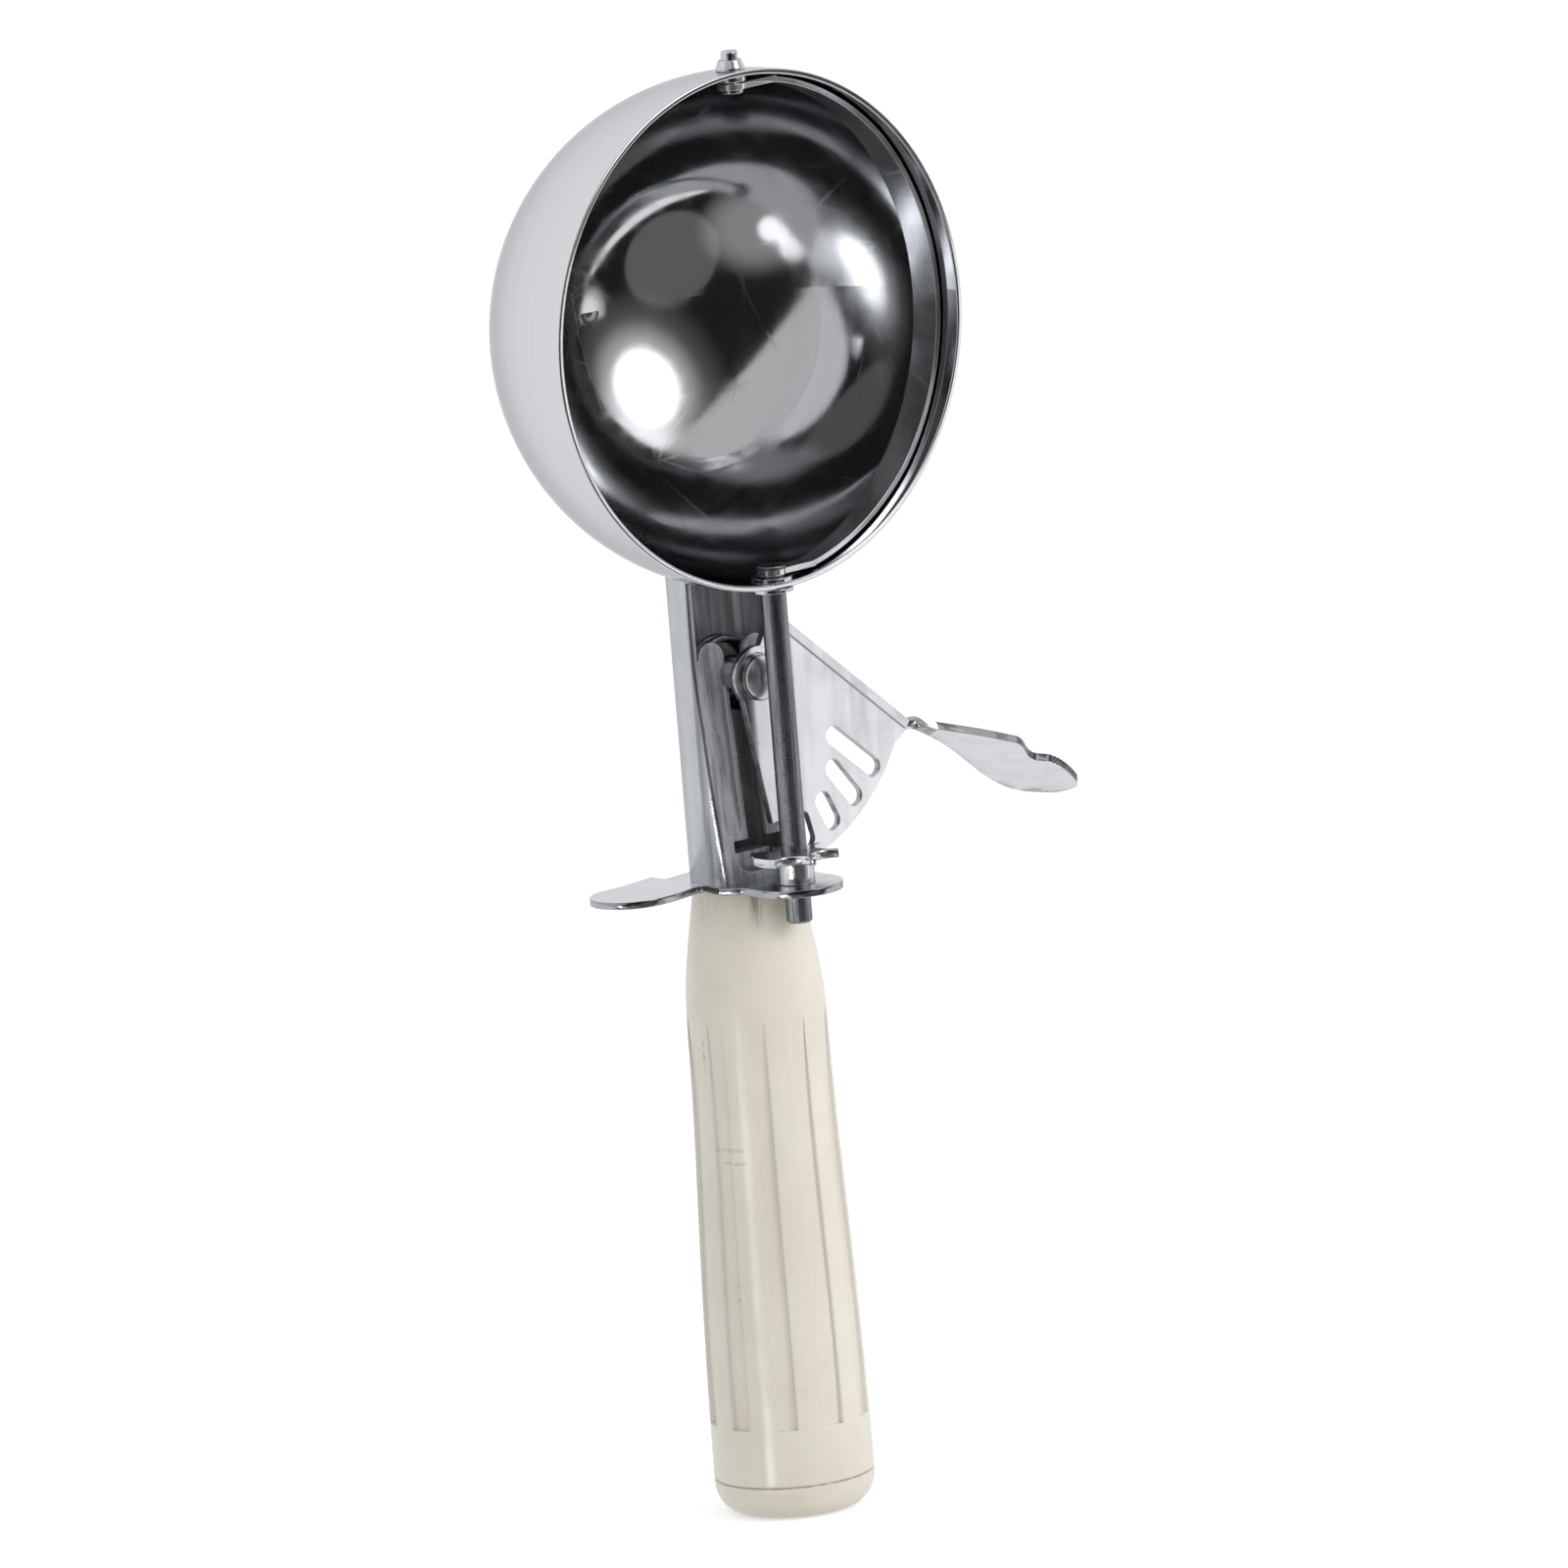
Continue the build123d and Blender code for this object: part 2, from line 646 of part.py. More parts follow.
twist_steps = 4
with BuildPart() as thumb_lever:
    with BuildSketch(lever_face):
        with BuildLine():
            Polyline(
                from_below(hub_corner_angle, lever_hub_radius),
                on_top_edge(top_corner_distance),
                on_top_edge(neck_distance),
                from_below(neck_angle, neck_radius),
                from_below(lever_rim_end_angle, lever_rim_end_radius),
            )
            ThreePointArc(
                from_below(lever_rim_end_angle, lever_rim_end_radius),
                from_below((lever_rim_end_angle + lever_notch_angle) / 2, lever_rim_middle_radius),
                from_below(lever_notch_angle, lever_rim_radius),
            )
            Polyline(
                from_below(lever_notch_angle, lever_rim_radius),
                from_below(lever_notch_angle, notch_inner_radius + slot_width / 2),
                from_below(notch_step_angle, notch_inner_radius + notch_step),
                from_below(hub_side_angle, lever_hub_radius),
                from_below(hub_corner_angle, lever_hub_radius),
            )
        make_face()
        Circle(lever_hub_radius)
        Circle(rivet_radius + running_gap, mode=Mode.SUBTRACT)
        notch_length = lever_rim_radius - notch_inner_radius + slot_width
        with Locations(from_below(lever_notch_angle, notch_inner_radius + notch_length / 2)):
            SlotOverall(notch_length, slot_width, lever_notch_angle - 90, mode=Mode.SUBTRACT)
        for step, inner_radius in enumerate(slot_inner_radii):
            slot_angle = lever_notch_angle + (step + 1) * lever_pitch_angle
            with Locations(from_below(slot_angle, (inner_radius + slot_outer_radius) / 2)):
                SlotOverall(slot_outer_radius - inner_radius, slot_width, slot_angle - 90, mode=Mode.SUBTRACT)
    extrude(amount=lever_thickness)
    with BuildSketch(lever_face.offset(lever_thickness)):
        with BuildLine():
            Polyline(
                on_top_edge(top_corner_distance),
                on_top_edge(neck_distance),
                on_top_edge(neck_distance, lip_width),
                on_top_edge(top_corner_distance, lip_width),
                close=True,
            )
        make_face()
    extrude(amount=lip_height)
    for step in range(twist_steps + 1):
        share = step / twist_steps
        across = across_neck(share * pad_twist)
        shift = across * share * (pad_near_start + pad_far_start) / 2
        place = neck_start + pad_out * neck_length * share + shift
        with BuildSketch(Plane(origin=place, x_dir=across, z_dir=pad_out)):
            Rectangle(neck_start_width + share * (pad_start_width - neck_start_width), lever_thickness)
    loft()
    add(thumb_pad.part)
thumb_lever.part.label = "thumb_lever"

# Pivot rivet: post through the shank's back, with a round head in front of the lever
head_back = lever_front - side_gap - washer_thickness
head_edge = head_back - rivet_edge_height
head_shoulder = head_back - rivet_shoulder_height
tail_edge = shank_radius + rivet_tail_edge
with BuildPart() as pivot_rivet:
    with BuildSketch(Plane.YZ):
        with BuildLine():
            ThreePointArc(
                (head_back - rivet_head_height, pivot_height),
                (head_shoulder, pivot_height + rivet_shoulder_radius),
                (head_edge, pivot_height + rivet_head_radius),
            )
            Polyline(
                (head_edge, pivot_height + rivet_head_radius),
                (head_back, pivot_height + rivet_head_radius),
                (head_back, pivot_height + rivet_radius),
                (shank_radius, pivot_height + rivet_radius),
                (shank_radius, pivot_height + rivet_tail_radius),
                (tail_edge, pivot_height + rivet_tail_radius),
                (shank_radius + rivet_tail_height, pivot_height + rivet_tail_face_radius),
                (shank_radius + rivet_tail_height, pivot_height),
                (head_back - rivet_head_height, pivot_height),
            )
        make_face()
    revolve(axis=Axis((0, 0, pivot_height), (0, 1, 0)))
pivot_rivet.part.label = "pivot_rivet"

# Spacer: sleeve on the rivet from the shank's back wall to the lever, inside the spring
spacer_back = math.sqrt((shank_radius - shank_wall) ** 2 - spacer_radius**2)
with BuildPart() as pivot_spacer:
    with BuildSketch(Plane(origin=(0, spacer_back, pivot_height), x_dir=(1, 0, 0), z_dir=(0, -1, 0))):
        Circle(spacer_radius)
        Circle(rivet_radius + seat_gap, mode=Mode.SUBTRACT)
    extrude(amount=spacer_back - lever_back - side_gap)
pivot_spacer.part.label = "pivot_spacer"

# Washer between the rivet's head and the lever
washer_back = lever_front - side_gap
with BuildPart() as pivot_washer:
    with BuildSketch(Plane(origin=(0, washer_back, pivot_height), x_dir=(1, 0, 0), z_dir=(0, -1, 0))):
        Circle(washer_radius)
        Circle(rivet_radius + seat_gap, mode=Mode.SUBTRACT)
    extrude(amount=washer_thickness)
pivot_washer.part.label = "pivot_washer"

# Return spring: wire coil round the spacer. One leg reaches forward to the lever and the other
# back to the shank.
coil_front = wire_diameter / 2 - side_gap


def coil_point(turned):
    """Point on the coil's line, turned degrees on from straight below the pivot."""
    angle = math.radians(turned)
    along = coil_front + coil_pitch * (turned - leg_angle) / 360
    return Vector(coil_radius * math.sin(angle), along, pivot_height - coil_radius * math.cos(angle))


def coil_direction(turned):
    """Direction of the coil's line there."""
    angle = math.radians(turned)
    climb = coil_pitch / (2 * math.pi * coil_radius)
    return Vector(math.cos(angle), climb, math.sin(angle)).normalized()


def biarc(start, start_direction, end, end_direction):
    """Two arcs that leave and arrive in the given directions and meet in line."""
    chord = end - start
    both = chord.dot(start_direction + end_direction)
    spread = 2 * (1 - start_direction.dot(end_direction))
    reach = (math.sqrt(both**2 + spread * chord.dot(chord)) - both) / spread
    first_corner = start + start_direction * reach
    last_corner = end - end_direction * reach
    meeting = (first_corner + last_corner) * 0.5
    TangentArc(start, meeting, tangent=start_direction)
    TangentArc(meeting, end, tangent=(last_corner - first_corner).normalized())


back_wall = shank_radius - shank_wall - seat_gap
last_turn = 360 * coil_full_turns - leg_angle
half_turn = (last_turn - leg_angle) / (2 * coil_full_turns)
turn_ends = [leg_angle + half_turn * step for step in range(2 * coil_full_turns + 1)]
leg_height = pivot_height - coil_radius
front_bend = Vector(0, coil_point(leg_angle).Y - leg_bend, leg_height)
back_bend = Vector(0, coil_point(last_turn).Y + leg_bend, leg_height)
backward = Vector(0, 1, 0)
with BuildPart() as return_spring:
    with BuildLine() as spring_line:
        Line((0, lever_back + part_gap, leg_height), front_bend)
        biarc(front_bend, backward, coil_point(leg_angle), coil_direction(leg_angle))
        for first, second in zip(turn_ends, turn_ends[1:]):
            biarc(coil_point(first), coil_direction(first), coil_point(second), coil_direction(second))
        biarc(coil_point(last_turn), coil_direction(last_turn), back_bend, backward)
        Line(back_bend, (0, back_wall, leg_height))
    with BuildSketch(Plane(origin=(0, lever_back + part_gap, leg_height), z_dir=(0, 1, 0))):
        Circle(wire_diameter / 2)
    sweep()
return_spring.part.label = "return_spring"

spring_wire = spring_line.wires()[0]
wire_points = [spring_wire @ (step / wire_samples) for step in range(wire_samples + 1)]
wire_step = spring_wire.length / wire_samples
apart = math.ceil(math.pi * wire_diameter / wire_step)
closest = min(
    (first - second).length
    for index, first in enumerate(wire_points)
    for second in wire_points[index + apart :]
)
print(f"return spring: {spring_wire.length:.1f} mm of wire")
print(f"return spring: least gap to itself {closest - wire_diameter:.2f} mm")

# Handle grip: turned outline with long flutes and a small crease under the guard
flute_foot_share = (grip_middle_height - flute_bottom) / (grip_middle_height - cap_height)
flute_foot_radius = grip_middle_radius + flute_foot_share * (grip_butt_radius - grip_middle_radius)
flute_top = grip_length - flute_top_drop
with BuildPart() as flute_cutter:
    with BuildSketch(Plane.XZ.rotated((0, 0, flute_phase - flute_angle / 2))):
        with BuildLine():
            Polyline(
                (flute_foot_radius - flute_depth, flute_bottom),
                (2 * grip_butt_radius, flute_bottom),
                (2 * grip_butt_radius, flute_top),
                (grip_belly_radius - seam_chamfer / 2, flute_top),
            )
            Spline(
                (grip_belly_radius - seam_chamfer / 2, flute_top),
                (grip_belly_radius - flute_top_depth, grip_length - grip_belly_drop),
                (grip_middle_radius - flute_depth, grip_middle_height),
                (flute_foot_radius - flute_depth, flute_bottom),
            )
        make_face()
    revolve(axis=Axis.Z, revolution_arc=flute_angle)

crease_out = Vector(math.cos(math.radians(crease_angle)), math.sin(math.radians(crease_angle)), 0)
with BuildPart() as handle_grip:
    with BuildSketch(Plane.XZ):
        with BuildLine():
            grip_side = Spline(
                (grip_butt_radius, cap_height + seam_chamfer),
                (grip_middle_radius, grip_middle_height),
                (grip_belly_radius, grip_length - grip_belly_drop),
                (grip_shoulder_radius, grip_length - grip_shoulder_drop),
                (grip_neck_radius, grip_length - grip_neck_drop),
                (grip_top_radius, grip_length),
                tangents=((0, 1), (-0.17, 1)),
            )
            Polyline(
                grip_side @ 1,
                (0, grip_length),
                (0, cap_height),
                (grip_butt_radius - seam_chamfer, cap_height),
                grip_side @ 0,
            )
        make_face()
    revolve(axis=Axis.Z)
    with PolarLocations(0, flute_count):
        add(flute_cutter.part, mode=Mode.SUBTRACT)
    with BuildSketch(Plane(origin=(0, 0, grip_length), x_dir=crease_out)):
        with Locations((grip_top_radius - crease_depth, 0)):
            Polygon((0, 0), (2 * crease_depth, crease_width), (2 * crease_depth, -crease_width), align=None)
    with BuildSketch(Plane(origin=(0, 0, grip_length - crease_length), x_dir=crease_out)):
        with Locations((grip_neck_radius - seam_chamfer, 0)):
            Polygon((0, 0), (crease_depth, crease_foot_width), (crease_depth, -crease_foot_width), align=None)
    loft(mode=Mode.SUBTRACT)
    with BuildSketch(Plane.XY.offset(grip_length)):
        Rectangle(tang_width + 2 * seat_gap, tang_thickness + 2 * seat_gap)
    extrude(amount=-tang_in_grip - part_gap, mode=Mode.SUBTRACT)
    with BuildSketch(Plane.XY.offset(cap_height)):
        Circle(spigot_radius + seat_gap)
    extrude(amount=spigot_length + part_gap, mode=Mode.SUBTRACT)
handle_grip.part.label = "handle_grip"

# Butt cap: rounded end of the grip, plugged into it by a short spigot
with BuildPart() as butt_cap:
    with BuildSketch(Plane.XZ):
        with BuildLine():
            cap_side = Spline(
                (cap_flat_radius, 0),
                (cap_shoulder_radius, cap_shoulder_height),
                (grip_butt_radius, cap_height - seam_chamfer),
                tangents=((1, 0), (0, 1)),
            )
            Polyline(
                cap_side @ 1,
                (grip_butt_radius - seam_chamfer, cap_height),
                (spigot_radius, cap_height),
                (spigot_radius, cap_height + spigot_length),
                (0, cap_height + spigot_length),
                (0, 0),
                cap_side @ 0,
            )
        make_face()
    revolve(axis=Axis.Z)
butt_cap.part.label = "butt_cap"

pieces = (
    bowl,
    top_collar,
    top_pin,
    bottom_bush,
    sweep_blade,
    spindle,
    pinion,
    pinion_sleeve,
    guard_bush,
    guard_plate,
    shank,
    tang,
    thumb_lever,
    pivot_rivet,
    pivot_spacer,
    pivot_washer,
    return_spring,
    handle_grip,
    butt_cap,
)
for piece in pieces:
    export_step(piece.part, f"parts/{piece.part.label}.step")
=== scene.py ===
import json
import math

import bmesh
import bpy
from mathutils import Matrix, Vector


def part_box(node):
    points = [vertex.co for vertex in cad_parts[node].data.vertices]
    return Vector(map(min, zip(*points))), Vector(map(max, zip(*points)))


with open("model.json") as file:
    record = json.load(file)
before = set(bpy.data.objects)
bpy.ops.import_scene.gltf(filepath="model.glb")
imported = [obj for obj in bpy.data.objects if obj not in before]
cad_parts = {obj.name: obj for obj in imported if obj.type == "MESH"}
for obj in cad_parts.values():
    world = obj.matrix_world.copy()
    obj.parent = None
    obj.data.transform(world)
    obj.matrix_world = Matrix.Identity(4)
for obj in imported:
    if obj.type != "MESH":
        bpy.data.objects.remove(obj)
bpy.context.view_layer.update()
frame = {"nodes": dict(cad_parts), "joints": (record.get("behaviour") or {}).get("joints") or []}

# Places on the scoop, in metres, as the frame gives them
joint_place = {joint["name"]: joint["pos_m"] for joint in frame["joints"]}
bowl_centre = Vector(joint_place["sweep_turn"])
spindle_foot = Vector((bowl_centre.x, bowl_centre.y, 0.0))
shank_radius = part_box("shank")[1].x
seam_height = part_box("handle_grip")[0].z

# Camera: the photograph's place, seen from the object. Lengths are in metres, angles in degrees and the
# sensor in millimetres. The aim shows at aim_pixel in the photograph.
camera_azimuth = -39.16
camera_elevation = 10.36
camera_roll = -4.69
camera_distance = 2.43
camera_aim = Vector((0.0, -0.0073, 0.1154))
camera_near = 0.1
camera_far = 50
photo_side = 1601
aim_pixel = (783.6, 794.2)
pixels_per_metre = 6670.7
sensor_side = 36.0


def outward(azimuth, elevation):
    """Direction from the object, azimuth 0 towards -Y and 90 towards +X."""
    turn, rise = math.radians(azimuth), math.radians(elevation)
    return Vector((math.sin(turn) * math.cos(rise), -math.cos(turn) * math.cos(rise), math.sin(rise)))


def make_camera():
    data = bpy.data.cameras.new("camera")
    data.sensor_width = sensor_side
    data.lens = pixels_per_metre * camera_distance / photo_side * sensor_side
    data.shift_x = (photo_side / 2 - aim_pixel[0]) / photo_side
    data.shift_y = (aim_pixel[1] - photo_side / 2) / photo_side
    data.clip_start = camera_near
    data.clip_end = camera_far
    camera = bpy.data.objects.new("camera", data)
    bpy.context.scene.collection.objects.link(camera)
    back = outward(camera_azimuth, camera_elevation)
    level = Vector((0, 0, 1)).cross(back).normalized()
    upright = back.cross(level)
    turn = math.radians(camera_roll)
    right = level * math.cos(turn) + upright * math.sin(turn)
    up = back.cross(right)
    place = camera_aim + back * camera_distance
    camera.matrix_world = Matrix((
        (right.x, up.x, back.x, place.x),
        (right.y, up.y, back.y, place.y),
        (right.z, up.z, back.z, place.z),
        (0, 0, 0, 1),
    ))
    bpy.context.scene.camera = camera


make_camera()


# Shader helpers
FLOAT, VECTOR, COLOUR = "NodeSocketFloat", "NodeSocketVector", "NodeSocketColor"


def add(tree, kind, inputs=None, **settings):
    """A new node with its settings, and its inputs by name or number.

    An input that is a socket is linked, and anything else is set as a value.
    """
    made = tree.nodes.new(kind)
    for name, value in settings.items():
        setattr(made, name, value)
    for name, value in (inputs or {}).items():
        if isinstance(value, bpy.types.NodeSocket):
            tree.links.new(value, made.inputs[name])
        else:
            made.inputs[name].default_value = value
    return made


def maths(tree, operation, first, second=0.0, third=0.0, clamp=False):
    inputs = {0: first, 1: second, 2: third}
    return add(tree, "ShaderNodeMath", inputs, operation=operation, use_clamp=clamp).outputs[0]


def vector_maths(tree, operation, first, second=(0, 0, 0)):
    """A number where the operation is a dot product or a length, and otherwise a vector."""
    made = add(tree, "ShaderNodeVectorMath", {0: first, 1: second}, operation=operation)
    if operation in ("DOT_PRODUCT", "LENGTH"):
        return made.outputs["Value"]
    return made.outputs["Vector"]


def part_of(tree, vector, axis):
    """One of a vector's three numbers, by the letter of its axis."""
    return add(tree, "ShaderNodeSeparateXYZ", {0: vector}).outputs[axis]


def noise(tree, place, scale, detail, roughness=0.5):
    inputs = {"Vector": place, "Scale": scale, "Detail": detail, "Roughness": roughness}
    return add(tree, "ShaderNodeTexNoise", inputs).outputs[0]


def average(tree, first, second):
    return maths(tree, "MULTIPLY_ADD", first, 0.5, maths(tree, "MULTIPLY", second, 0.5))


def spread(tree, value, low, high, to_low=0.0, to_high=1.0):
    """Maps low..high to to_low..to_high, softly at both ends."""
    made = add(tree, "ShaderNodeMapRange", {0: value, 1: low, 2: high, 3: to_low, 4: to_high})
    made.interpolation_type = "SMOOTHSTEP"
    return made.outputs[0]


def fade(tree, value, full, gone):
    """A mask that is whole up to full and softly gone at gone."""
    return spread(tree, value, full, gone, 1.0, 0.0)


def mix_colour(tree, share, first, second):
    return add(tree, "ShaderNodeMix", {0: share, 6: first, 7: second}, data_type="RGBA").outputs[2]


def new_group(name, inputs, outputs):
    """A shader group with named sockets. Inputs are (name, kind, value) and outputs are (name, kind)."""
    tree = bpy.data.node_groups.new(name, "ShaderNodeTree")
    for label, kind, value in inputs:
        socket = tree.interface.new_socket(name=label, in_out="INPUT", socket_type=kind)
        if value is not None:
            socket.default_value = value
    for label, kind in outputs:
        tree.interface.new_socket(name=label, in_out="OUTPUT", socket_type=kind)
    return tree, tree.nodes.new("NodeGroupInput").outputs, tree.nodes.new("NodeGroupOutput").inputs


def placed(tree, group, inputs):
    """Outputs of a group node with the given inputs."""
    return add(tree, "ShaderNodeGroup", inputs, node_tree=group).outputs


# Effects that several finishes share. Scales are in noise cells per metre, and sizes are in metres.
def make_draw_marks():
    """Long fine drawing, brushing or polishing marks. Across is small along the axis that they follow."""
    tree, given, put = new_group(
        "draw_marks",
        [("Place", VECTOR, None), ("Fineness", FLOAT, 900.0), ("Across", VECTOR, (1, 1, 0.02))],
        [("Height", FLOAT), ("Mask", FLOAT)],
    )
    broad_to_fine = 0.2
    stretched = vector_maths(tree, "MULTIPLY", given["Place"], given["Across"])
    fine = noise(tree, stretched, given["Fineness"], 3.0, 0.6)
    broad = noise(tree, stretched, maths(tree, "MULTIPLY", given["Fineness"], broad_to_fine), 2.0)
    tree.links.new(average(tree, broad, fine), put["Height"])
    tree.links.new(spread(tree, broad, 0.42, 0.62), put["Mask"])
    return tree


def make_smudges():
    """Cloudy patches, where a polished surface is a little duller."""
    tree, given, put = new_group(
        "smudges",
        [("Place", VECTOR, None), ("Size", FLOAT, 0.02), ("Low", FLOAT, 0.08), ("High", FLOAT, 0.2)],
        [("Value", FLOAT)],
    )
    cloud = noise(tree, given["Place"], maths(tree, "DIVIDE", 1.0, given["Size"]), 5.0, 0.62)
    mask = spread(tree, cloud, 0.38, 0.66)
    reach = maths(tree, "SUBTRACT", given["High"], given["Low"])
    tree.links.new(maths(tree, "MULTIPLY_ADD", mask, reach, given["Low"]), put["Value"])
    return tree


def make_scratches():
    """A few thin scratches in three directions, where the edges of stretched cells run, shown in patches."""
    tree, given, put = new_group(
        "scratches",
        [("Place", VECTOR, None), ("Scale", FLOAT, 60.0), ("Amount", FLOAT, 0.5)],
        [("Mask", FLOAT)],
    )
    line_width = 0.012
    patch_scale = 90.0
    total = 0.0
    for turn, stretch in ((0.5, (1, 0.12, 0.25)), (2.1, (0.2, 1, 0.1)), (4.0, (0.5, 0.1, 1))):
        mapping = {"Vector": given["Place"], "Rotation": (turn, turn * 0.7, turn * 1.3), "Scale": stretch}
        turned = add(tree, "ShaderNodeMapping", mapping).outputs[0]
        cells = {"Vector": turned, "Scale": given["Scale"]}
        from_edge = add(tree, "ShaderNodeTexVoronoi", cells, feature="DISTANCE_TO_EDGE").outputs[0]
        total = maths(tree, "MAXIMUM", total, fade(tree, from_edge, 0.0, line_width))
    shown = spread(tree, noise(tree, given["Place"], patch_scale, 2.0), 0.5, 0.68)
    faint = maths(tree, "MULTIPLY", total, shown)
    tree.links.new(maths(tree, "MULTIPLY", faint, given["Amount"]), put["Mask"])
    return tree


def make_specks():
    """Sparse small round spots. Size is a share of the spacing, and Share is how many cells hold one."""
    tree, given, put = new_group(
        "specks",
        [("Place", VECTOR, None), ("Spacing", FLOAT, 0.01), ("Size", FLOAT, 0.03), ("Share", FLOAT, 0.3)],
        [("Mask", FLOAT)],
    )
    scale = maths(tree, "DIVIDE", 1.0, given["Spacing"])
    cells = add(tree, "ShaderNodeTexVoronoi", {"Vector": given["Place"], "Scale": scale}).outputs
    spot = fade(tree, cells["Distance"], maths(tree, "MULTIPLY", given["Size"], 0.5), given["Size"])
    chance = add(tree, "ShaderNodeSeparateColor", {0: cells["Color"]}).outputs[0]
    kept = maths(tree, "LESS_THAN", chance, given["Share"])
    tree.links.new(maths(tree, "MULTIPLY", spot, kept), put["Mask"])
    return tree


def make_pitting():
    """Fine uneven dark pits of a drawn or plated surface, drawn out a little along its marks."""
    tree, given, put = new_group(
        "pitting",
        [("Place", VECTOR, None), ("Across", VECTOR, (1, 1, 1))],
        [("Mask", FLOAT)],
    )
    least_across = (0.35, 0.35, 0.35)
    fine_scale = 2200.0
    broad_scale = 350.0
    eased = vector_maths(tree, "MAXIMUM", given["Across"], least_across)
    stretched = vector_maths(tree, "MULTIPLY", given["Place"], eased)
    fine = noise(tree, stretched, fine_scale, 4.0, 0.7)
    broad = noise(tree, stretched, broad_scale, 3.0)
    tree.links.new(spread(tree, average(tree, broad, fine), 0.4, 0.62), put["Mask"])
    return tree


def make_rounded_edge():
    """Rounded normal at sharp edges and a mask of them."""
    tree, given, put = new_group(
        "rounded_edge",
        [("Radius", FLOAT, 0.0003)],
        [("Mask", FLOAT), ("Normal", VECTOR)],
    )
    rounded = add(tree, "ShaderNodeBevel", {"Radius": given["Radius"]}, samples=6).outputs[0]
    plain = add(tree, "ShaderNodeNewGeometry").outputs["Normal"]
    likeness = vector_maths(tree, "DOT_PRODUCT", rounded, plain)
    tree.links.new(fade(tree, likeness, 0.82, 0.995), put["Mask"])
    tree.links.new(rounded, put["Normal"])
    return tree


def make_sheared_edge_and_shade():
    """Darker, streaky edges of a stamped sheet, found where it looks away from its face: partly the cut
    edges' own tone, partly painted shade.

    Beyond Neck on X its face looks along Far Face, and its edges lose one more share of their tone, set by
    the last input, as painted shade.
    """
    tree, given, put = new_group(
        "sheared_edge_and_shade",
        [
            ("Place", VECTOR, None),
            ("Colour", COLOUR, None),
            ("Streaks", FLOAT, 0.0),
            ("Face", VECTOR, (0, 0, 1)),
            ("Far Face", VECTOR, (0, 0, 1)),
            ("Neck", FLOAT, 1.0),
            ("Extra Shade", FLOAT, 0.0),
        ],
        [("Colour", COLOUR)],
    )
    # Tone of the cut edges: partly their own duller steel, partly painted shade on edges and slot walls
    cut_tone_and_shade = 0.62
    streak_depth = 0.25
    facing = add(tree, "ShaderNodeTexCoord").outputs["Normal"]
    near = maths(tree, "ABSOLUTE", vector_maths(tree, "DOT_PRODUCT", facing, given["Face"]))
    far = maths(tree, "ABSOLUTE", vector_maths(tree, "DOT_PRODUCT", facing, given["Far Face"]))
    beyond = maths(tree, "GREATER_THAN", part_of(tree, given["Place"], "X"), given["Neck"])
    near = maths(tree, "MULTIPLY", near, maths(tree, "SUBTRACT", 1.0, beyond))
    flat = maths(tree, "MULTIPLY_ADD", far, beyond, near)

    shade = maths(tree, "MULTIPLY_ADD", given["Streaks"], -streak_depth, cut_tone_and_shade)
    # Past the neck, the pad's edges get more painted shade
    extra_shade = maths(tree, "MULTIPLY", beyond, given["Extra Shade"])
    shade = maths(tree, "MULTIPLY", shade, maths(tree, "SUBTRACT", 1.0, extra_shade))
    cut = add(tree, "ShaderNodeCombineColor", {0: shade, 1: shade, 2: shade}).outputs[0]
    both = {0: 1.0, 6: given["Colour"], 7: cut}
    darker = add(tree, "ShaderNodeMix", both, data_type="RGBA", blend_type="MULTIPLY").outputs[2]
    edges = fade(tree, flat, 0.5, 0.8)
    tree.links.new(mix_colour(tree, edges, given["Colour"], darker), put["Colour"])
    return tree


draw_marks = make_draw_marks()
smudges = make_smudges()
scratches = make_scratches()
specks = make_specks()
pitting = make_pitting()
rounded_edge = make_rounded_edge()
sheared_edge_and_shade = make_sheared_edge_and_shade()


def new_material(name):
    """A material, its tree, its shader and the place on the object."""
    material = bpy.data.materials.new(name)
    material.use_nodes = True
    tree = material.node_tree
    return material, tree, tree.nodes["Principled BSDF"], add(tree, "ShaderNodeTexCoord").outputs["Object"]


# Steel tones
bright_steel = (0.69, 0.70, 0.72)
soft_steel = (0.62, 0.635, 0.66)
mid_steel = (0.46, 0.475, 0.50)
dark_steel = (0.13, 0.135, 0.15)

# What all the steels share: sizes in metres, scales in cells per metre, and how much lighter edges are
# painted, partly as wear and partly as painted highlight
marks_radius = 0.03
smudge_size = 0.012
scratch_scale = 70.0
cloud_scale = 75.0
wave_scale = 85.0
marks_depth = 0.00003
edge_gain = 1.25

# Stamped sheet: where its faces look, and the streaks of its sheared edges. The lever's pad begins at
# pad_start, and its edges there are darker with extra painted shade.
plate_face = (0, 1, 0)
guard_face = (0, 0, 1)
pad_face = (0.407, 0.391, 0.826)
pad_start = 0.0325
pad_edge_shade = 0.68
cut_fineness = 2600.0
cut_across = (1, 0.08, 1)

# The rolled channel of the shank: where its wall counts as inside, and its metallic share there
wall_inner = shank_radius - 0.0006
wall_outer = shank_radius - 0.0002
channel_metallic = 0.35


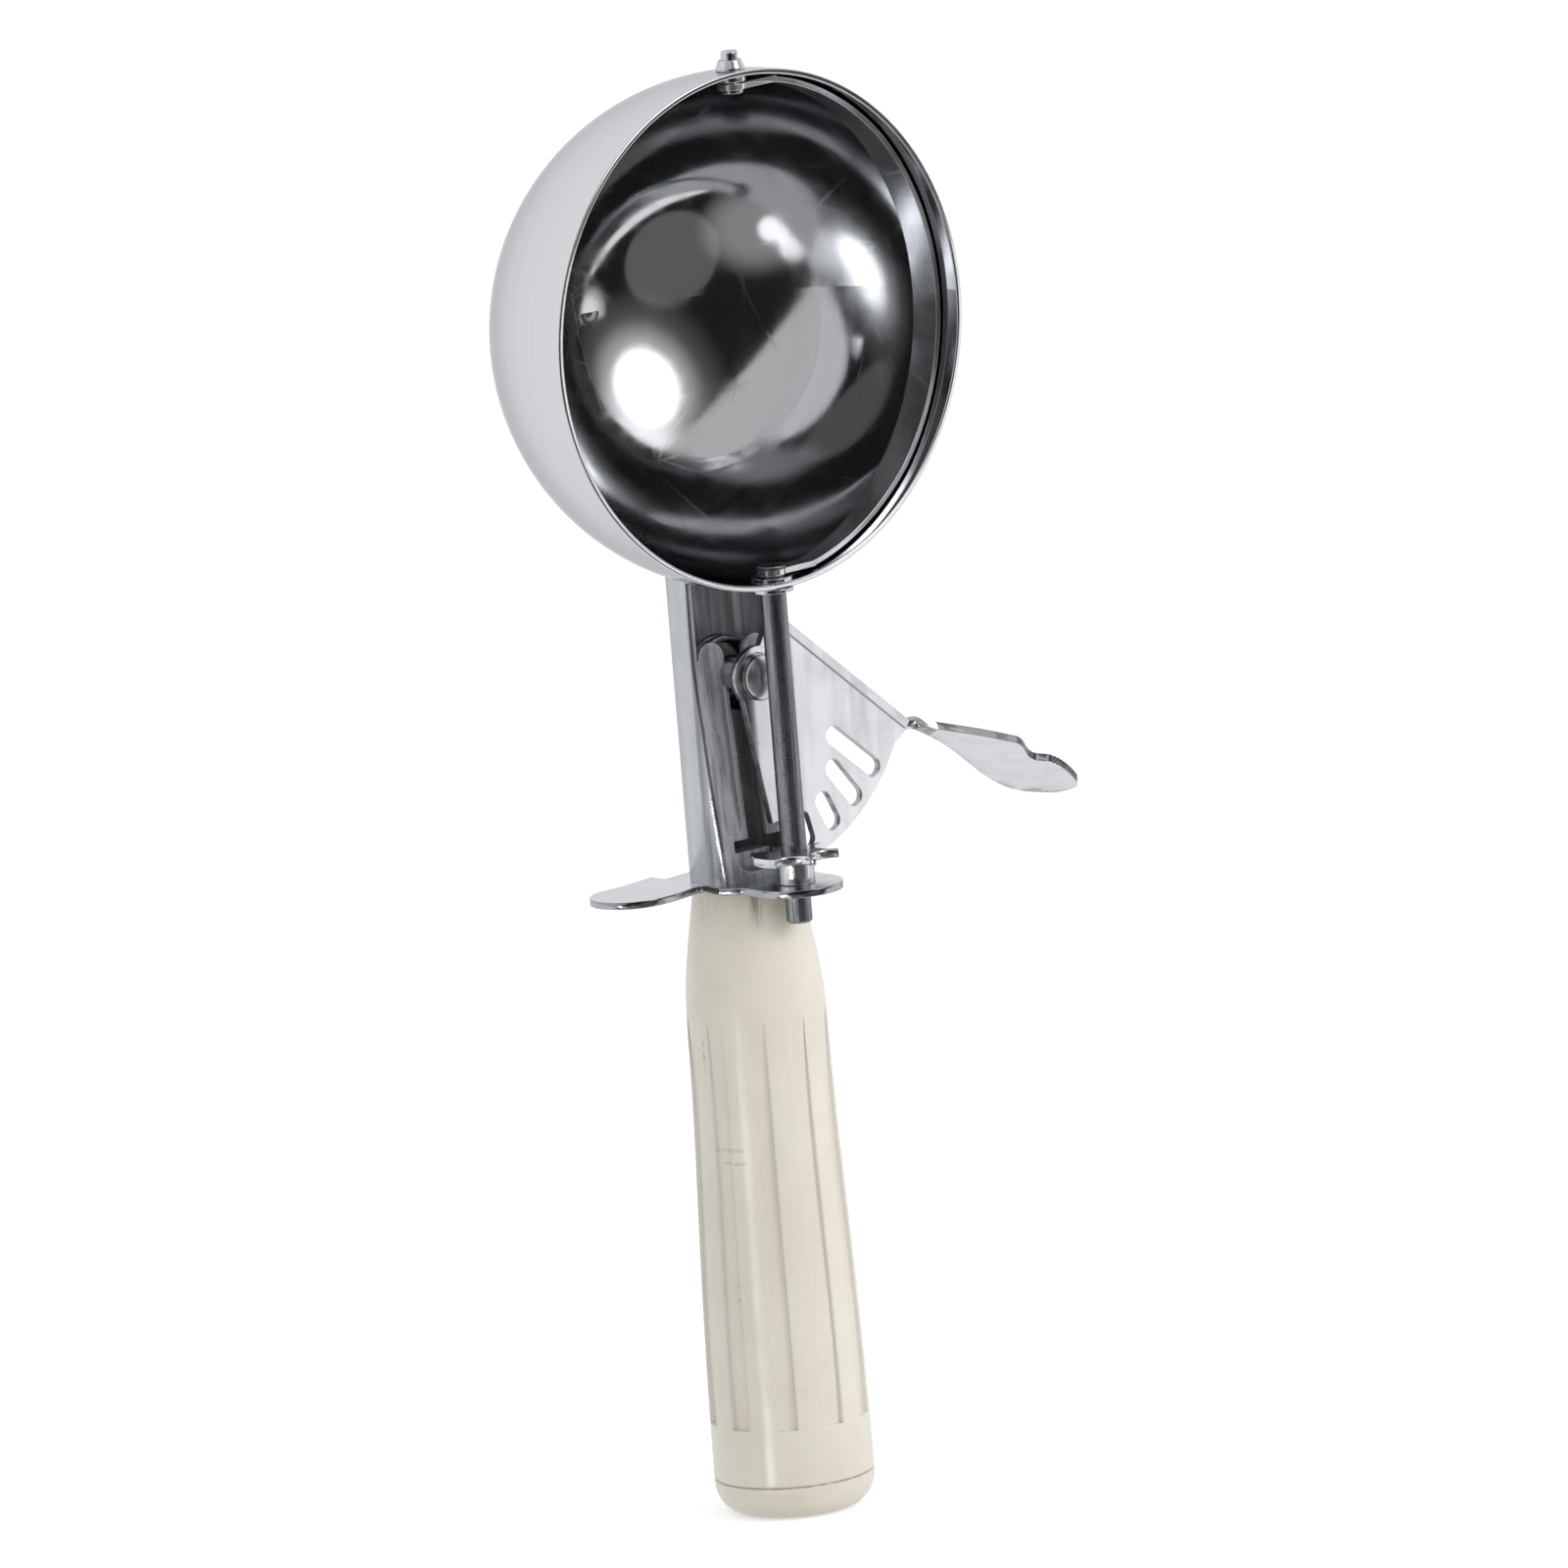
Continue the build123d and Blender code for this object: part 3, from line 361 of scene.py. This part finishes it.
def round_axis(tree, place, centre, axis):
    """Place as out from an axis, along it and round it, for marks that run in circles or up a round rod."""
    moved = add(tree, "ShaderNodeSeparateXYZ", {0: vector_maths(tree, "SUBTRACT", place, centre)}).outputs
    across = {"X": ("Y", "Z"), "Y": ("Z", "X"), "Z": ("X", "Y")}[axis]
    first, second = moved[across[0]], moved[across[1]]
    squares = maths(tree, "MULTIPLY_ADD", first, first, maths(tree, "MULTIPLY", second, second))
    around = maths(tree, "MULTIPLY", maths(tree, "ARCTAN2", second, first), marks_radius)
    parts = {0: maths(tree, "SQRT", squares), 1: moved[axis], 2: around}
    return add(tree, "ShaderNodeCombineXYZ", parts).outputs[0]


def clouded(tree, place, colour, cloud):
    """The colour with uneven grey patches."""
    patches = spread(tree, noise(tree, place, cloud_scale, 3.0, 0.6), 0.42, 0.62)
    return mix_colour(tree, maths(tree, "MULTIPLY", patches, cloud), colour, (*mid_steel, 1))


def radius_of(tree, place):
    """Distance from the upright axis through the origin."""
    return vector_maths(tree, "LENGTH", vector_maths(tree, "MULTIPLY", place, (1, 1, 0)))


def roll_streaks_and_shade(tree, place):
    """Mask of dark streaks up the channel's inside, and up its outside where it turns to the front: draw
    streaks placed as painted shade of the hollow and of the rounded front corner.
    """
    facing = part_of(tree, add(tree, "ShaderNodeTexCoord").outputs["Normal"], "Y")
    slim = vector_maths(tree, "MULTIPLY", place, (1, 1, 0.03))
    lines = noise(tree, slim, 900.0, 3.0, 0.6)
    outside = spread(tree, radius_of(tree, place), wall_inner, wall_outer)
    turn = maths(tree, "MULTIPLY", spread(tree, facing, -0.12, -0.34, 0.0, 0.6), outside)
    inside = maths(tree, "MULTIPLY", maths(tree, "SUBTRACT", 1.0, outside), 0.5)
    return maths(tree, "MULTIPLY", maths(tree, "ADD", turn, inside), spread(tree, lines, 0.4, 0.6))


def duller_inside(tree, place):
    """Metallic share of the rolled channel: lower on its inside."""
    inside = fade(tree, radius_of(tree, place), wall_inner, wall_outer)
    return maths(tree, "MULTIPLY_ADD", inside, channel_metallic - 1.0, 1.0)


def sheared_and_shaded(tree, place, colour, faces):
    """Sheared edges darkened, partly their own tone and partly painted shade. Faces are where it looks, or
    its fan plate and its pad.
    """
    marks = {"Place": place, "Fineness": cut_fineness, "Across": cut_across}
    streaks = placed(tree, draw_marks, marks)["Mask"]
    inputs = {"Place": place, "Colour": colour, "Streaks": streaks, "Face": faces[0]}
    if len(faces) > 1:
        inputs.update({"Far Face": faces[1], "Neck": pad_start, "Extra Shade": pad_edge_shade})
    return placed(tree, sheared_edge_and_shade, inputs)["Colour"]


def wavy(tree, place, normal, wave):
    """The normal of a surface that swells a little, so that its reflections aren't quite even."""
    swell = noise(tree, place, wave_scale, 2.0, 0.4)
    inputs = {"Strength": 1.0, "Distance": wave, "Height": swell, "Normal": normal}
    return add(tree, "ShaderNodeBump", inputs).outputs[0]


def steel(name, light, dark, clean, dull, grain, fineness=1200.0, across=(1, 1, 0.03), round_to=None,
          pits=0.0, cloud=0.0, edge=0.0002, scratch=0.3, faces=(), rolled=False, brushed=0.0, wave=0.0,
          tint=0.72, metal=1.0):
    """Bright steel. Light and dark are its tones, clean and dull its roughness, and grain its marks' depth.

    Fineness and across shape the marks, and round_to is the centre and axis that they run round, if any.
    Pits and cloud are how far pits and patches darken it, edge is the radius of its rounded edges, which are
    painted lighter for wear and as painted highlight, and scratch is how strongly scratches show. Faces are
    those of a stamped sheet, whose sheared edges are darker, partly their own tone and partly painted shade,
    and rolled is for the shank's channel, with its streaks and painted shade. Brushed stretches its
    reflections round Y, and wave is how high the surface swells.
    Tint is its tone where it is seen edge on, and metal its metallic share.
    """
    material, tree, shader, place = new_material(name)
    along = round_axis(tree, place, *round_to) if round_to else place
    marks = placed(tree, draw_marks, {"Place": along, "Fineness": fineness, "Across": across})
    dulling = placed(tree, smudges, {"Place": place, "Size": smudge_size, "Low": clean, "High": dull})
    lines = placed(tree, scratches, {"Place": place, "Scale": scratch_scale, "Amount": scratch})["Mask"]
    edges = placed(tree, rounded_edge, {"Radius": edge})

    tone = maths(tree, "MULTIPLY", marks["Mask"], 0.5)
    height = maths(tree, "MULTIPLY_ADD", lines, -0.6, marks["Height"])
    if pits:
        spots = placed(tree, pitting, {"Place": along, "Across": across})["Mask"]
        tone = maths(tree, "MULTIPLY_ADD", spots, pits, tone, clamp=True)
        height = maths(tree, "MULTIPLY_ADD", spots, -0.5, height)

    colour = mix_colour(tree, tone, (*light, 1), (*dark, 1))
    if cloud:
        colour = clouded(tree, place, colour, cloud)
    # Dark streaks on the channel: partly draw streaks, partly painted shade inside it and where its wall
    # turns to the front
    if rolled:
        colour = mix_colour(tree, roll_streaks_and_shade(tree, place), colour, (*dark_steel, 1))
    # Edges painted lighter: partly wear, partly painted highlight
    worn_and_highlight = tuple(min(1.0, part * edge_gain) for part in light)
    colour = mix_colour(tree, maths(tree, "MULTIPLY", edges["Mask"], 0.6), colour, (*worn_and_highlight, 1))
    # Sheared edges darker: partly their own tone, partly painted shade
    if faces:
        colour = sheared_and_shaded(tree, place, colour, faces)
    tree.links.new(colour, shader.inputs["Base Color"])

    rough = maths(tree, "MULTIPLY_ADD", lines, 0.2, dulling["Value"])
    rough = maths(tree, "MULTIPLY_ADD", marks["Mask"], (dull - clean) * 0.4, rough)
    tree.links.new(rough, shader.inputs["Roughness"])
    shader.inputs["Metallic"].default_value = metal
    if rolled:
        tree.links.new(duller_inside(tree, place), shader.inputs["Metallic"])
    shader.inputs["Specular Tint"].default_value = (tint, tint + 0.01, tint + 0.03, 1)
    if brushed:
        shader.inputs["Anisotropic"].default_value = brushed
        radial = add(tree, "ShaderNodeTangent", direction_type="RADIAL", axis="Y")
        tree.links.new(radial.outputs[0], shader.inputs["Tangent"])

    normal = wavy(tree, place, edges["Normal"], wave) if wave else edges["Normal"]
    relief = {"Strength": grain, "Distance": marks_depth, "Height": height, "Normal": normal}
    tree.links.new(add(tree, "ShaderNodeBump", relief).outputs[0], shader.inputs["Normal"])
    return material


def bowl_steel():
    """Mirror polish, with faint marks in circles round the bowl's middle."""
    return steel("polished_steel", light=(0.655, 0.665, 0.685), dark=(0.635, 0.645, 0.667), clean=0.06,
                 dull=0.12, grain=0.12, fineness=2200.0, across=(1, 1, 0.02), round_to=(bowl_centre, "Y"),
                 edge=0.00015, scratch=0.45, brushed=0.3, wave=0.00004)


def blade_steel():
    """Polished spring strip, with marks along Y and more scratches than the rest."""
    return steel("blade_steel", light=(0.72, 0.73, 0.75), dark=soft_steel, clean=0.1, dull=0.22, grain=0.25,
                 fineness=1500.0, across=(1, 0.04, 1), edge=0.00015, scratch=0.5, metal=0.92)


def shank_steel():
    """Plated channel, with draw marks up its length, pits, an uneven tone and streaky painted shade inside
    and at its front corner.
    """
    return steel("plated_steel", light=soft_steel, dark=mid_steel, clean=0.2, dull=0.34, grain=0.2,
                 fineness=1500.0, across=(1, 1, 0.02), pits=0.25, cloud=0.4, edge=0.0005, rolled=True)


def guard_steel():
    """Stamped flat plate, with its grain along X and sheared edges."""
    return steel("guard_steel", light=bright_steel, dark=soft_steel, clean=0.14, dull=0.24, grain=0.2,
                 fineness=1500.0, across=(0.1, 1, 1), faces=(guard_face,), tint=0.95)


def lever_steel():
    """Stamped sheet of fan plate and pad, with its grain along Z and sheared edges."""
    return steel("stamped_steel", light=bright_steel, dark=soft_steel, clean=0.16, dull=0.24, grain=0.12,
                 fineness=1800.0, across=(1, 1, 0.1), scratch=0.25, faces=(plate_face, pad_face), tint=0.9)


def collar_steel():
    """Turned collars and bushes, with marks round them."""
    return steel("collar_steel", light=soft_steel, dark=mid_steel, clean=0.12, dull=0.25, grain=0.3,
                 fineness=2500.0, across=(1, 1, 0.05), round_to=(spindle_foot, "Z"))


def pin_steel():
    """Turned pin, with marks round it and a few pits."""
    return steel("pin_steel", light=soft_steel, dark=mid_steel, clean=0.08, dull=0.2, grain=0.3,
                 fineness=2500.0, across=(1, 1, 0.05), round_to=(spindle_foot, "Z"), pits=0.3)


def rod_steel():
    """Dark drawn rod, mottled, with marks up its length."""
    return steel("rod_steel", light=(0.33, 0.345, 0.37), dark=dark_steel, clean=0.2, dull=0.34, grain=0.5,
                 fineness=3000.0, across=(1, 0.12, 1), round_to=(spindle_foot, "Z"), pits=0.75)


def rivet_steel():
    """Satin rivet head with a soft rim."""
    return steel("rivet_steel", light=bright_steel, dark=soft_steel, clean=0.24, dull=0.34, grain=0.1,
                 edge=0.0005)


def pinion_steel():
    """Stamped star wheel with worn teeth."""
    return steel("pinion_steel", light=bright_steel, dark=mid_steel, clean=0.16, dull=0.3, grain=0.3,
                 fineness=1500.0, across=(0.1, 1, 1), edge=0.0004, tint=0.95)


def sleeve_steel():
    """Spacer sleeve, pitted, with marks up its length."""
    return steel("sleeve_steel", light=bright_steel, dark=mid_steel, clean=0.12, dull=0.24, grain=0.4,
                 fineness=2500.0, across=(1, 0.05, 1), round_to=(spindle_foot, "Z"), pits=0.4)


def spring_steel():
    """Dark drawn wire."""
    return steel("spring_wire", light=(0.3, 0.3, 0.32), dark=(0.1, 0.1, 0.11), clean=0.22, dull=0.4,
                 grain=0.3, pits=0.4)


# Grip: its front looks to the photograph's side, and angles go round it from there, in degrees. The crease's
# reach to each side is in radians, and the rest is in metres.
front_angle = math.radians(-129)
grip_front = Vector((math.cos(front_angle), math.sin(front_angle), 0))
grip_side = Vector((-grip_front.y, grip_front.x, 0))
grip_radius = 0.0113
seam_dirt_height = 0.0004
guard_brown_start, guard_brown_full = 0.089, 0.0985
crease_angle = 8.0
crease_start, crease_full = 0.0915, 0.0965
crease_core, crease_reach = 0.02, 0.16

# Flaws that have a known place on the grip: angle, height, half width and half height
grip_flaws = (
    (-37.0, 0.0905, 0.0004, 0.0003),
    (-47.0, 0.0842, 0.0004, 0.0003),
    (-52.0, 0.0735, 0.0003, 0.0030),
    (-34.0, 0.0585, 0.0034, 0.0004),
    (-26.0, 0.0565, 0.0030, 0.0003),
    (-35.0, 0.0372, 0.0004, 0.0003),
    (-33.0, 0.0350, 0.0004, 0.0004),
)

ivory_pale = (0.89, 0.845, 0.735)
ivory_deep = (0.84, 0.79, 0.675)
near_guard_brown = (0.45, 0.36, 0.24)
crease_shadow_brown = (0.3, 0.22, 0.13)
seam_brown = (0.35, 0.22, 0.12)
flaw_brown = (0.42, 0.33, 0.23)
edge_highlight_white = (1.0, 0.98, 0.92)
scratch_tan = (0.6, 0.54, 0.43)


def browner_near_guard(tree, height, patchy):
    """Patchy brown that grows towards the guard."""
    near_guard = spread(tree, height, guard_brown_start, guard_brown_full)
    return maths(tree, "MULTIPLY", near_guard, spread(tree, patchy, 0.3, 0.7, 0.25, 1.0))


def crease_shadow(tree, height, around):
    """Painted brown shadow in the upright crease under the guard."""
    aside = maths(tree, "ABSOLUTE", maths(tree, "SUBTRACT", around, math.radians(crease_angle)))
    under_guard = spread(tree, height, crease_start, crease_full)
    return maths(tree, "MULTIPLY", fade(tree, aside, crease_core, crease_reach), under_guard)


def seam_dirt(tree, height, patchy):
    """Broken line of dirt in the seam between grip and cap."""
    away = maths(tree, "ABSOLUTE", maths(tree, "SUBTRACT", height, seam_height))
    broken = spread(tree, patchy, 0.35, 0.55, 0.3, 1.0)
    return maths(tree, "MULTIPLY", fade(tree, away, 0.0, seam_dirt_height), broken)


def specks_and_flaws(tree, place, height, around, patchy):
    """Scattered specks and the flaws that have a known place."""
    mask = placed(tree, specks, {"Place": place, "Spacing": 0.007, "Size": 0.03, "Share": 0.3})["Mask"]
    for angle, level, half_width, half_height in grip_flaws:
        turned = maths(tree, "SUBTRACT", around, math.radians(angle))
        aside = maths(tree, "MULTIPLY", turned, grip_radius / half_width)
        above = maths(tree, "DIVIDE", maths(tree, "SUBTRACT", height, level), half_height)
        apart = maths(tree, "MULTIPLY_ADD", aside, aside, maths(tree, "MULTIPLY", above, above))
        flaw = maths(tree, "MULTIPLY", fade(tree, apart, 0.1, 1.5), spread(tree, patchy, 0.42, 0.58))
        mask = maths(tree, "MAXIMUM", mask, flaw)
    return mask


def ivory():
    """Aged ivory plastic: cloudy tone, browner by the guard, painted shadow in the crease under it, a dirty
    seam, dark specks, scratches, rub marks and painted highlight on its edges.
    """
    material, tree, shader, place = new_material("ivory_plastic")
    height = part_of(tree, place, "Z")
    ahead = vector_maths(tree, "DOT_PRODUCT", place, grip_front)
    around = maths(tree, "ARCTAN2", vector_maths(tree, "DOT_PRODUCT", place, grip_side), ahead)
    patchy = noise(tree, place, 900.0, 6.0, 0.7)
    edges = placed(tree, rounded_edge, {"Radius": 0.0007})
    lines = placed(tree, scratches, {"Place": place, "Scale": 55.0, "Amount": 0.8})["Mask"]

    cloud = spread(tree, noise(tree, place, 45.0, 5.0, 0.6), 0.35, 0.65)
    colour = mix_colour(tree, cloud, (*ivory_pale, 1), (*ivory_deep, 1))
    for mask, strength, shade in (
        (browner_near_guard(tree, height, patchy), 0.3, near_guard_brown),
        # Painted shadow in the crease under the guard
        (crease_shadow(tree, height, around), 0.55, crease_shadow_brown),
        (seam_dirt(tree, height, patchy), 0.6, seam_brown),
        (specks_and_flaws(tree, place, height, around, patchy), 0.55, flaw_brown),
        # Painted highlight along edges and flute edges, which also lightens their shade
        (edges["Mask"], 0.9, edge_highlight_white),
        (lines, 0.12, scratch_tan),
    ):
        colour = mix_colour(tree, maths(tree, "MULTIPLY", mask, strength), colour, (*shade, 1))
    tree.links.new(colour, shader.inputs["Base Color"])

    rub = placed(tree, smudges, {"Place": place, "Size": 0.015, "Low": 0.28, "High": 0.4})
    tree.links.new(maths(tree, "MULTIPLY_ADD", lines, 0.15, rub["Value"]), shader.inputs["Roughness"])
    skin = placed(tree, draw_marks, {"Place": place, "Fineness": 700.0, "Across": (1, 1, 0.25)})
    height_map = maths(tree, "MULTIPLY_ADD", lines, -0.8, skin["Height"])
    relief = {"Strength": 0.12, "Distance": 0.0001, "Height": height_map, "Normal": edges["Normal"]}
    tree.links.new(add(tree, "ShaderNodeBump", relief).outputs[0], shader.inputs["Normal"])
    shader.inputs["Subsurface Weight"].default_value = 0.1
    shader.inputs["Subsurface Radius"].default_value = (0.003, 0.0022, 0.0014)
    shader.inputs["Coat Weight"].default_value = 0.35
    shader.inputs["Coat Roughness"].default_value = 0.2
    return material


# The finish of each part. Small turned and stamped parts share one with a part that was made the same way.
own_finish = {
    "bowl": bowl_steel,
    "sweep_blade": blade_steel,
    "shank": shank_steel,
    "guard_plate": guard_steel,
    "thumb_lever": lever_steel,
    "top_collar": collar_steel,
    "top_pin": pin_steel,
    "spindle": rod_steel,
    "pivot_rivet": rivet_steel,
    "pinion": pinion_steel,
    "pinion_sleeve": sleeve_steel,
    "return_spring": spring_steel,
    "handle_grip": ivory,
}
shared_finish = {
    "pivot_washer": "guard_plate",
    "tang": "shank",
    "bottom_bush": "top_collar",
    "guard_bush": "top_collar",
    "pivot_spacer": "top_collar",
    "butt_cap": "handle_grip",
}

# Radius that breaks the sharp edges of pressed and stamped parts, in metres
soft_edges = {"thumb_lever": 0.00025, "guard_plate": 0.0002, "shank": 0.0002, "pinion": 0.0002}
weld_distance = 0.000001
sharp_angle = 35


def soften_edges(piece, width):
    """Break a part's sharp edges with a small round."""
    joined = piece.modifiers.new("joined", "WELD")
    joined.merge_threshold = weld_distance
    rounded = piece.modifiers.new("rounded", "BEVEL")
    rounded.width = width
    rounded.segments = 2
    rounded.limit_method = "ANGLE"
    rounded.angle_limit = math.radians(sharp_angle)
    rounded.harden_normals = True


finishes = {node_name: make_finish() for node_name, make_finish in own_finish.items()}
for node_name, piece in frame["nodes"].items():
    piece.data.materials.clear()
    piece.data.materials.append(finishes[shared_finish.get(node_name, node_name)])
    if node_name in soft_edges:
        soften_edges(piece, soft_edges[node_name])


# Studio: a white room that shows in the metal through a shell of soft cards, lamps and a pale floor. Angles
# are in degrees and lengths in metres.
white = (1, 1, 1, 1)
room_middle = Vector((0, 0, 0.12))
diffuse_level = 0.68

# The shell: white behind and on the lever's side, a grey card on the open side, and a dark room in front
shell_radius = 0.5
open_side_normal = Vector((-0.3834, 0.6641, 0.6419))
lever_side_normal = Vector((0.4836, 0.7632, -0.4288))
lever_side_edge = -0.06
behind_normal = Vector((0, 1, 0))
grey_card_level = 0.6
dark_level = 0.015

# Round soft cards of the dark room: azimuth, elevation, full within, gone beyond, and the light they add.
# The key lamp has three of them, for its glow, its rim and its middle.
room_cards = (
    (20, 25, 16, 44, 0.12),
    (20, 25, 12, 30, 0.5),
    (38, 38, 4, 24, 0.45),
    (20, 25, 6, 19, 3.0),
    (60, 52, 12, 30, 0.7),
    (-63, -28, 4, 7, 1.2),
    (-56, -38, 5, 8, 1.2),
    (-45, -40, 8, 26, 0.3),
    (-1, -28, 21.5, 22.5, 0.13),
)
dark_patch = (143, -16, 0, 48, -0.15)

# Lamps
key_direction = (20, 25)
key_distance = 1.4
key_size = 0.91
key_power = 6.5
grid_card_distance = 0.4

# Floor
floor_reach = 3.0
floor_grey = (0.8, 0.8, 0.8, 1)
floor_glow = 0.5


def make_world():
    """White for what the camera and the metal see, and a little less for the light on matt surfaces."""
    world = bpy.data.worlds.new("studio")
    bpy.context.scene.world = world
    world.use_nodes = True
    tree = world.node_tree
    tree.nodes.clear()
    path = add(tree, "ShaderNodeLightPath").outputs
    mirrored = maths(tree, "MAXIMUM", path["Is Glossy Ray"], path["Is Transmission Ray"])
    seen = maths(tree, "MAXIMUM", path["Is Camera Ray"], mirrored)
    level = spread(tree, seen, 0.0, 1.0, diffuse_level, 1.0)
    background = add(tree, "ShaderNodeBackground", {"Color": white, "Strength": level})
    add(tree, "ShaderNodeOutputWorld", {0: background.outputs[0]})


def round_card(tree, direction, azimuth, elevation, inner, outer, level):
    """Round soft card on the shell: full inside inner degrees from its middle, gone at outer."""
    near = vector_maths(tree, "DOT_PRODUCT", direction, outward(azimuth, elevation))
    return spread(tree, near, math.cos(math.radians(outer)), math.cos(math.radians(inner)), 0.0, level)


def shell_light(tree):
    """How bright the shell is in each direction."""
    direction = vector_maths(tree, "NORMALIZE", add(tree, "ShaderNodeTexCoord").outputs["Object"])
    dark = dark_level
    for card in room_cards:
        dark = maths(tree, "ADD", dark, round_card(tree, direction, *card))
    open_side = vector_maths(tree, "DOT_PRODUCT", direction, open_side_normal)
    lever_side = vector_maths(tree, "DOT_PRODUCT", direction, lever_side_normal)
    back_side = vector_maths(tree, "DOT_PRODUCT", direction, behind_normal)
    grey = spread(tree, open_side, -0.004, 0.004)
    light = spread(tree, lever_side, lever_side_edge - 0.01, lever_side_edge + 0.01)
    behind = spread(tree, back_side, -0.06, 0.02)
    level = maths(tree, "MULTIPLY", dark, maths(tree, "SUBTRACT", 1.0, grey))
    level = maths(tree, "MULTIPLY_ADD", grey, grey_card_level, level)
    level = spread(tree, maths(tree, "MAXIMUM", light, behind), 0.0, 1.0, level, 1.0)
    return maths(tree, "ADD", level, round_card(tree, direction, *dark_patch))


def make_shell():
    """Sphere round the object that only reflections see."""
    mesh = bpy.data.meshes.new("studio_shell")
    shape = bmesh.new()
    bmesh.ops.create_uvsphere(shape, u_segments=64, v_segments=32, radius=shell_radius)
    shape.to_mesh(mesh)
    shape.free()
    shell = bpy.data.objects.new("studio_shell", mesh)
    shell.location = bowl_centre
    bpy.context.scene.collection.objects.link(shell)
    material = bpy.data.materials.new("studio_cards")
    material.use_nodes = True
    tree = material.node_tree
    tree.nodes.clear()
    glow = add(tree, "ShaderNodeEmission", {"Color": white, "Strength": shell_light(tree)})
    add(tree, "ShaderNodeOutputMaterial", {"Surface": glow.outputs[0]})
    mesh.materials.append(material)
    shell.visible_camera = False
    shell.visible_diffuse = False
    shell.visible_transmission = False
    shell.visible_volume_scatter = False
    shell.visible_shadow = False


def hang_lamp(name, data, middle, direction, distance):
    """An area lamp at a distance from a middle, turned to shine at it."""
    lamp = bpy.data.objects.new(name, data)
    bpy.context.scene.collection.objects.link(lamp)
    away = outward(*direction)
    lamp.location = middle + away * distance
    lamp.rotation_mode = "QUATERNION"
    lamp.rotation_quaternion = away.to_track_quat("Z", "Y")
    return lamp


def make_key_lamp():
    """Round lamp. What the metal shows of it is on the shell."""
    data = bpy.data.lights.new("key", "AREA")
    data.shape = "DISK"
    data.size = key_size
    data.energy = key_power
    lamp = hang_lamp("key", data, room_middle, key_direction, key_distance)
    lamp.visible_glossy = False


def make_grid_card(name, direction, aim, size, spread_angle, energy):
    """Card behind a grid, so that only what stands straight before it sees it."""
    data = bpy.data.lights.new(name, "AREA")
    data.shape = "RECTANGLE"
    data.size, data.size_y = size
    data.spread = math.radians(spread_angle)
    data.energy = energy
    card = hang_lamp(name, data, Vector(aim), direction, grid_card_distance)
    card.visible_diffuse = False


def make_floor():
    """Pale floor, white to the camera, that keeps the object's shadow."""
    mesh = bpy.data.meshes.new("floor")
    corners = [(x * floor_reach, y * floor_reach, 0) for x, y in ((-1, -1), (1, -1), (1, 1), (-1, 1))]
    mesh.from_pydata(corners, [], [(0, 1, 2, 3)])
    floor = bpy.data.objects.new("floor", mesh)
    bpy.context.scene.collection.objects.link(floor)
    material = bpy.data.materials.new("pale_floor")
    material.use_nodes = True
    tree = material.node_tree
    shader = tree.nodes["Principled BSDF"]
    shader.inputs["Base Color"].default_value = floor_grey
    shader.inputs["Roughness"].default_value = 0.9
    shader.inputs["Specular IOR Level"].default_value = 0.0
    seen = maths(tree, "MULTIPLY", add(tree, "ShaderNodeLightPath").outputs["Is Camera Ray"], floor_glow)
    glow = add(tree, "ShaderNodeEmission", {"Color": white, "Strength": seen})
    both = add(tree, "ShaderNodeAddShader", {0: shader.outputs[0], 1: glow.outputs[0]})
    tree.links.new(both.outputs[0], tree.nodes["Material Output"].inputs["Surface"])
    mesh.materials.append(material)
    floor.visible_glossy = False


make_world()
make_shell()
make_key_lamp()
make_grid_card("lever_card", (39.2, -8.0), (0.018, -0.006, 0.118), (0.13, 0.15), 22, 0.0012)
make_grid_card("grip_card", (-73.0, -10.4), (0.0, 0.0, 0.012), (0.09, 0.13), 20, 0.04)
make_floor()
bpy.context.scene.view_settings.view_transform = "Standard"
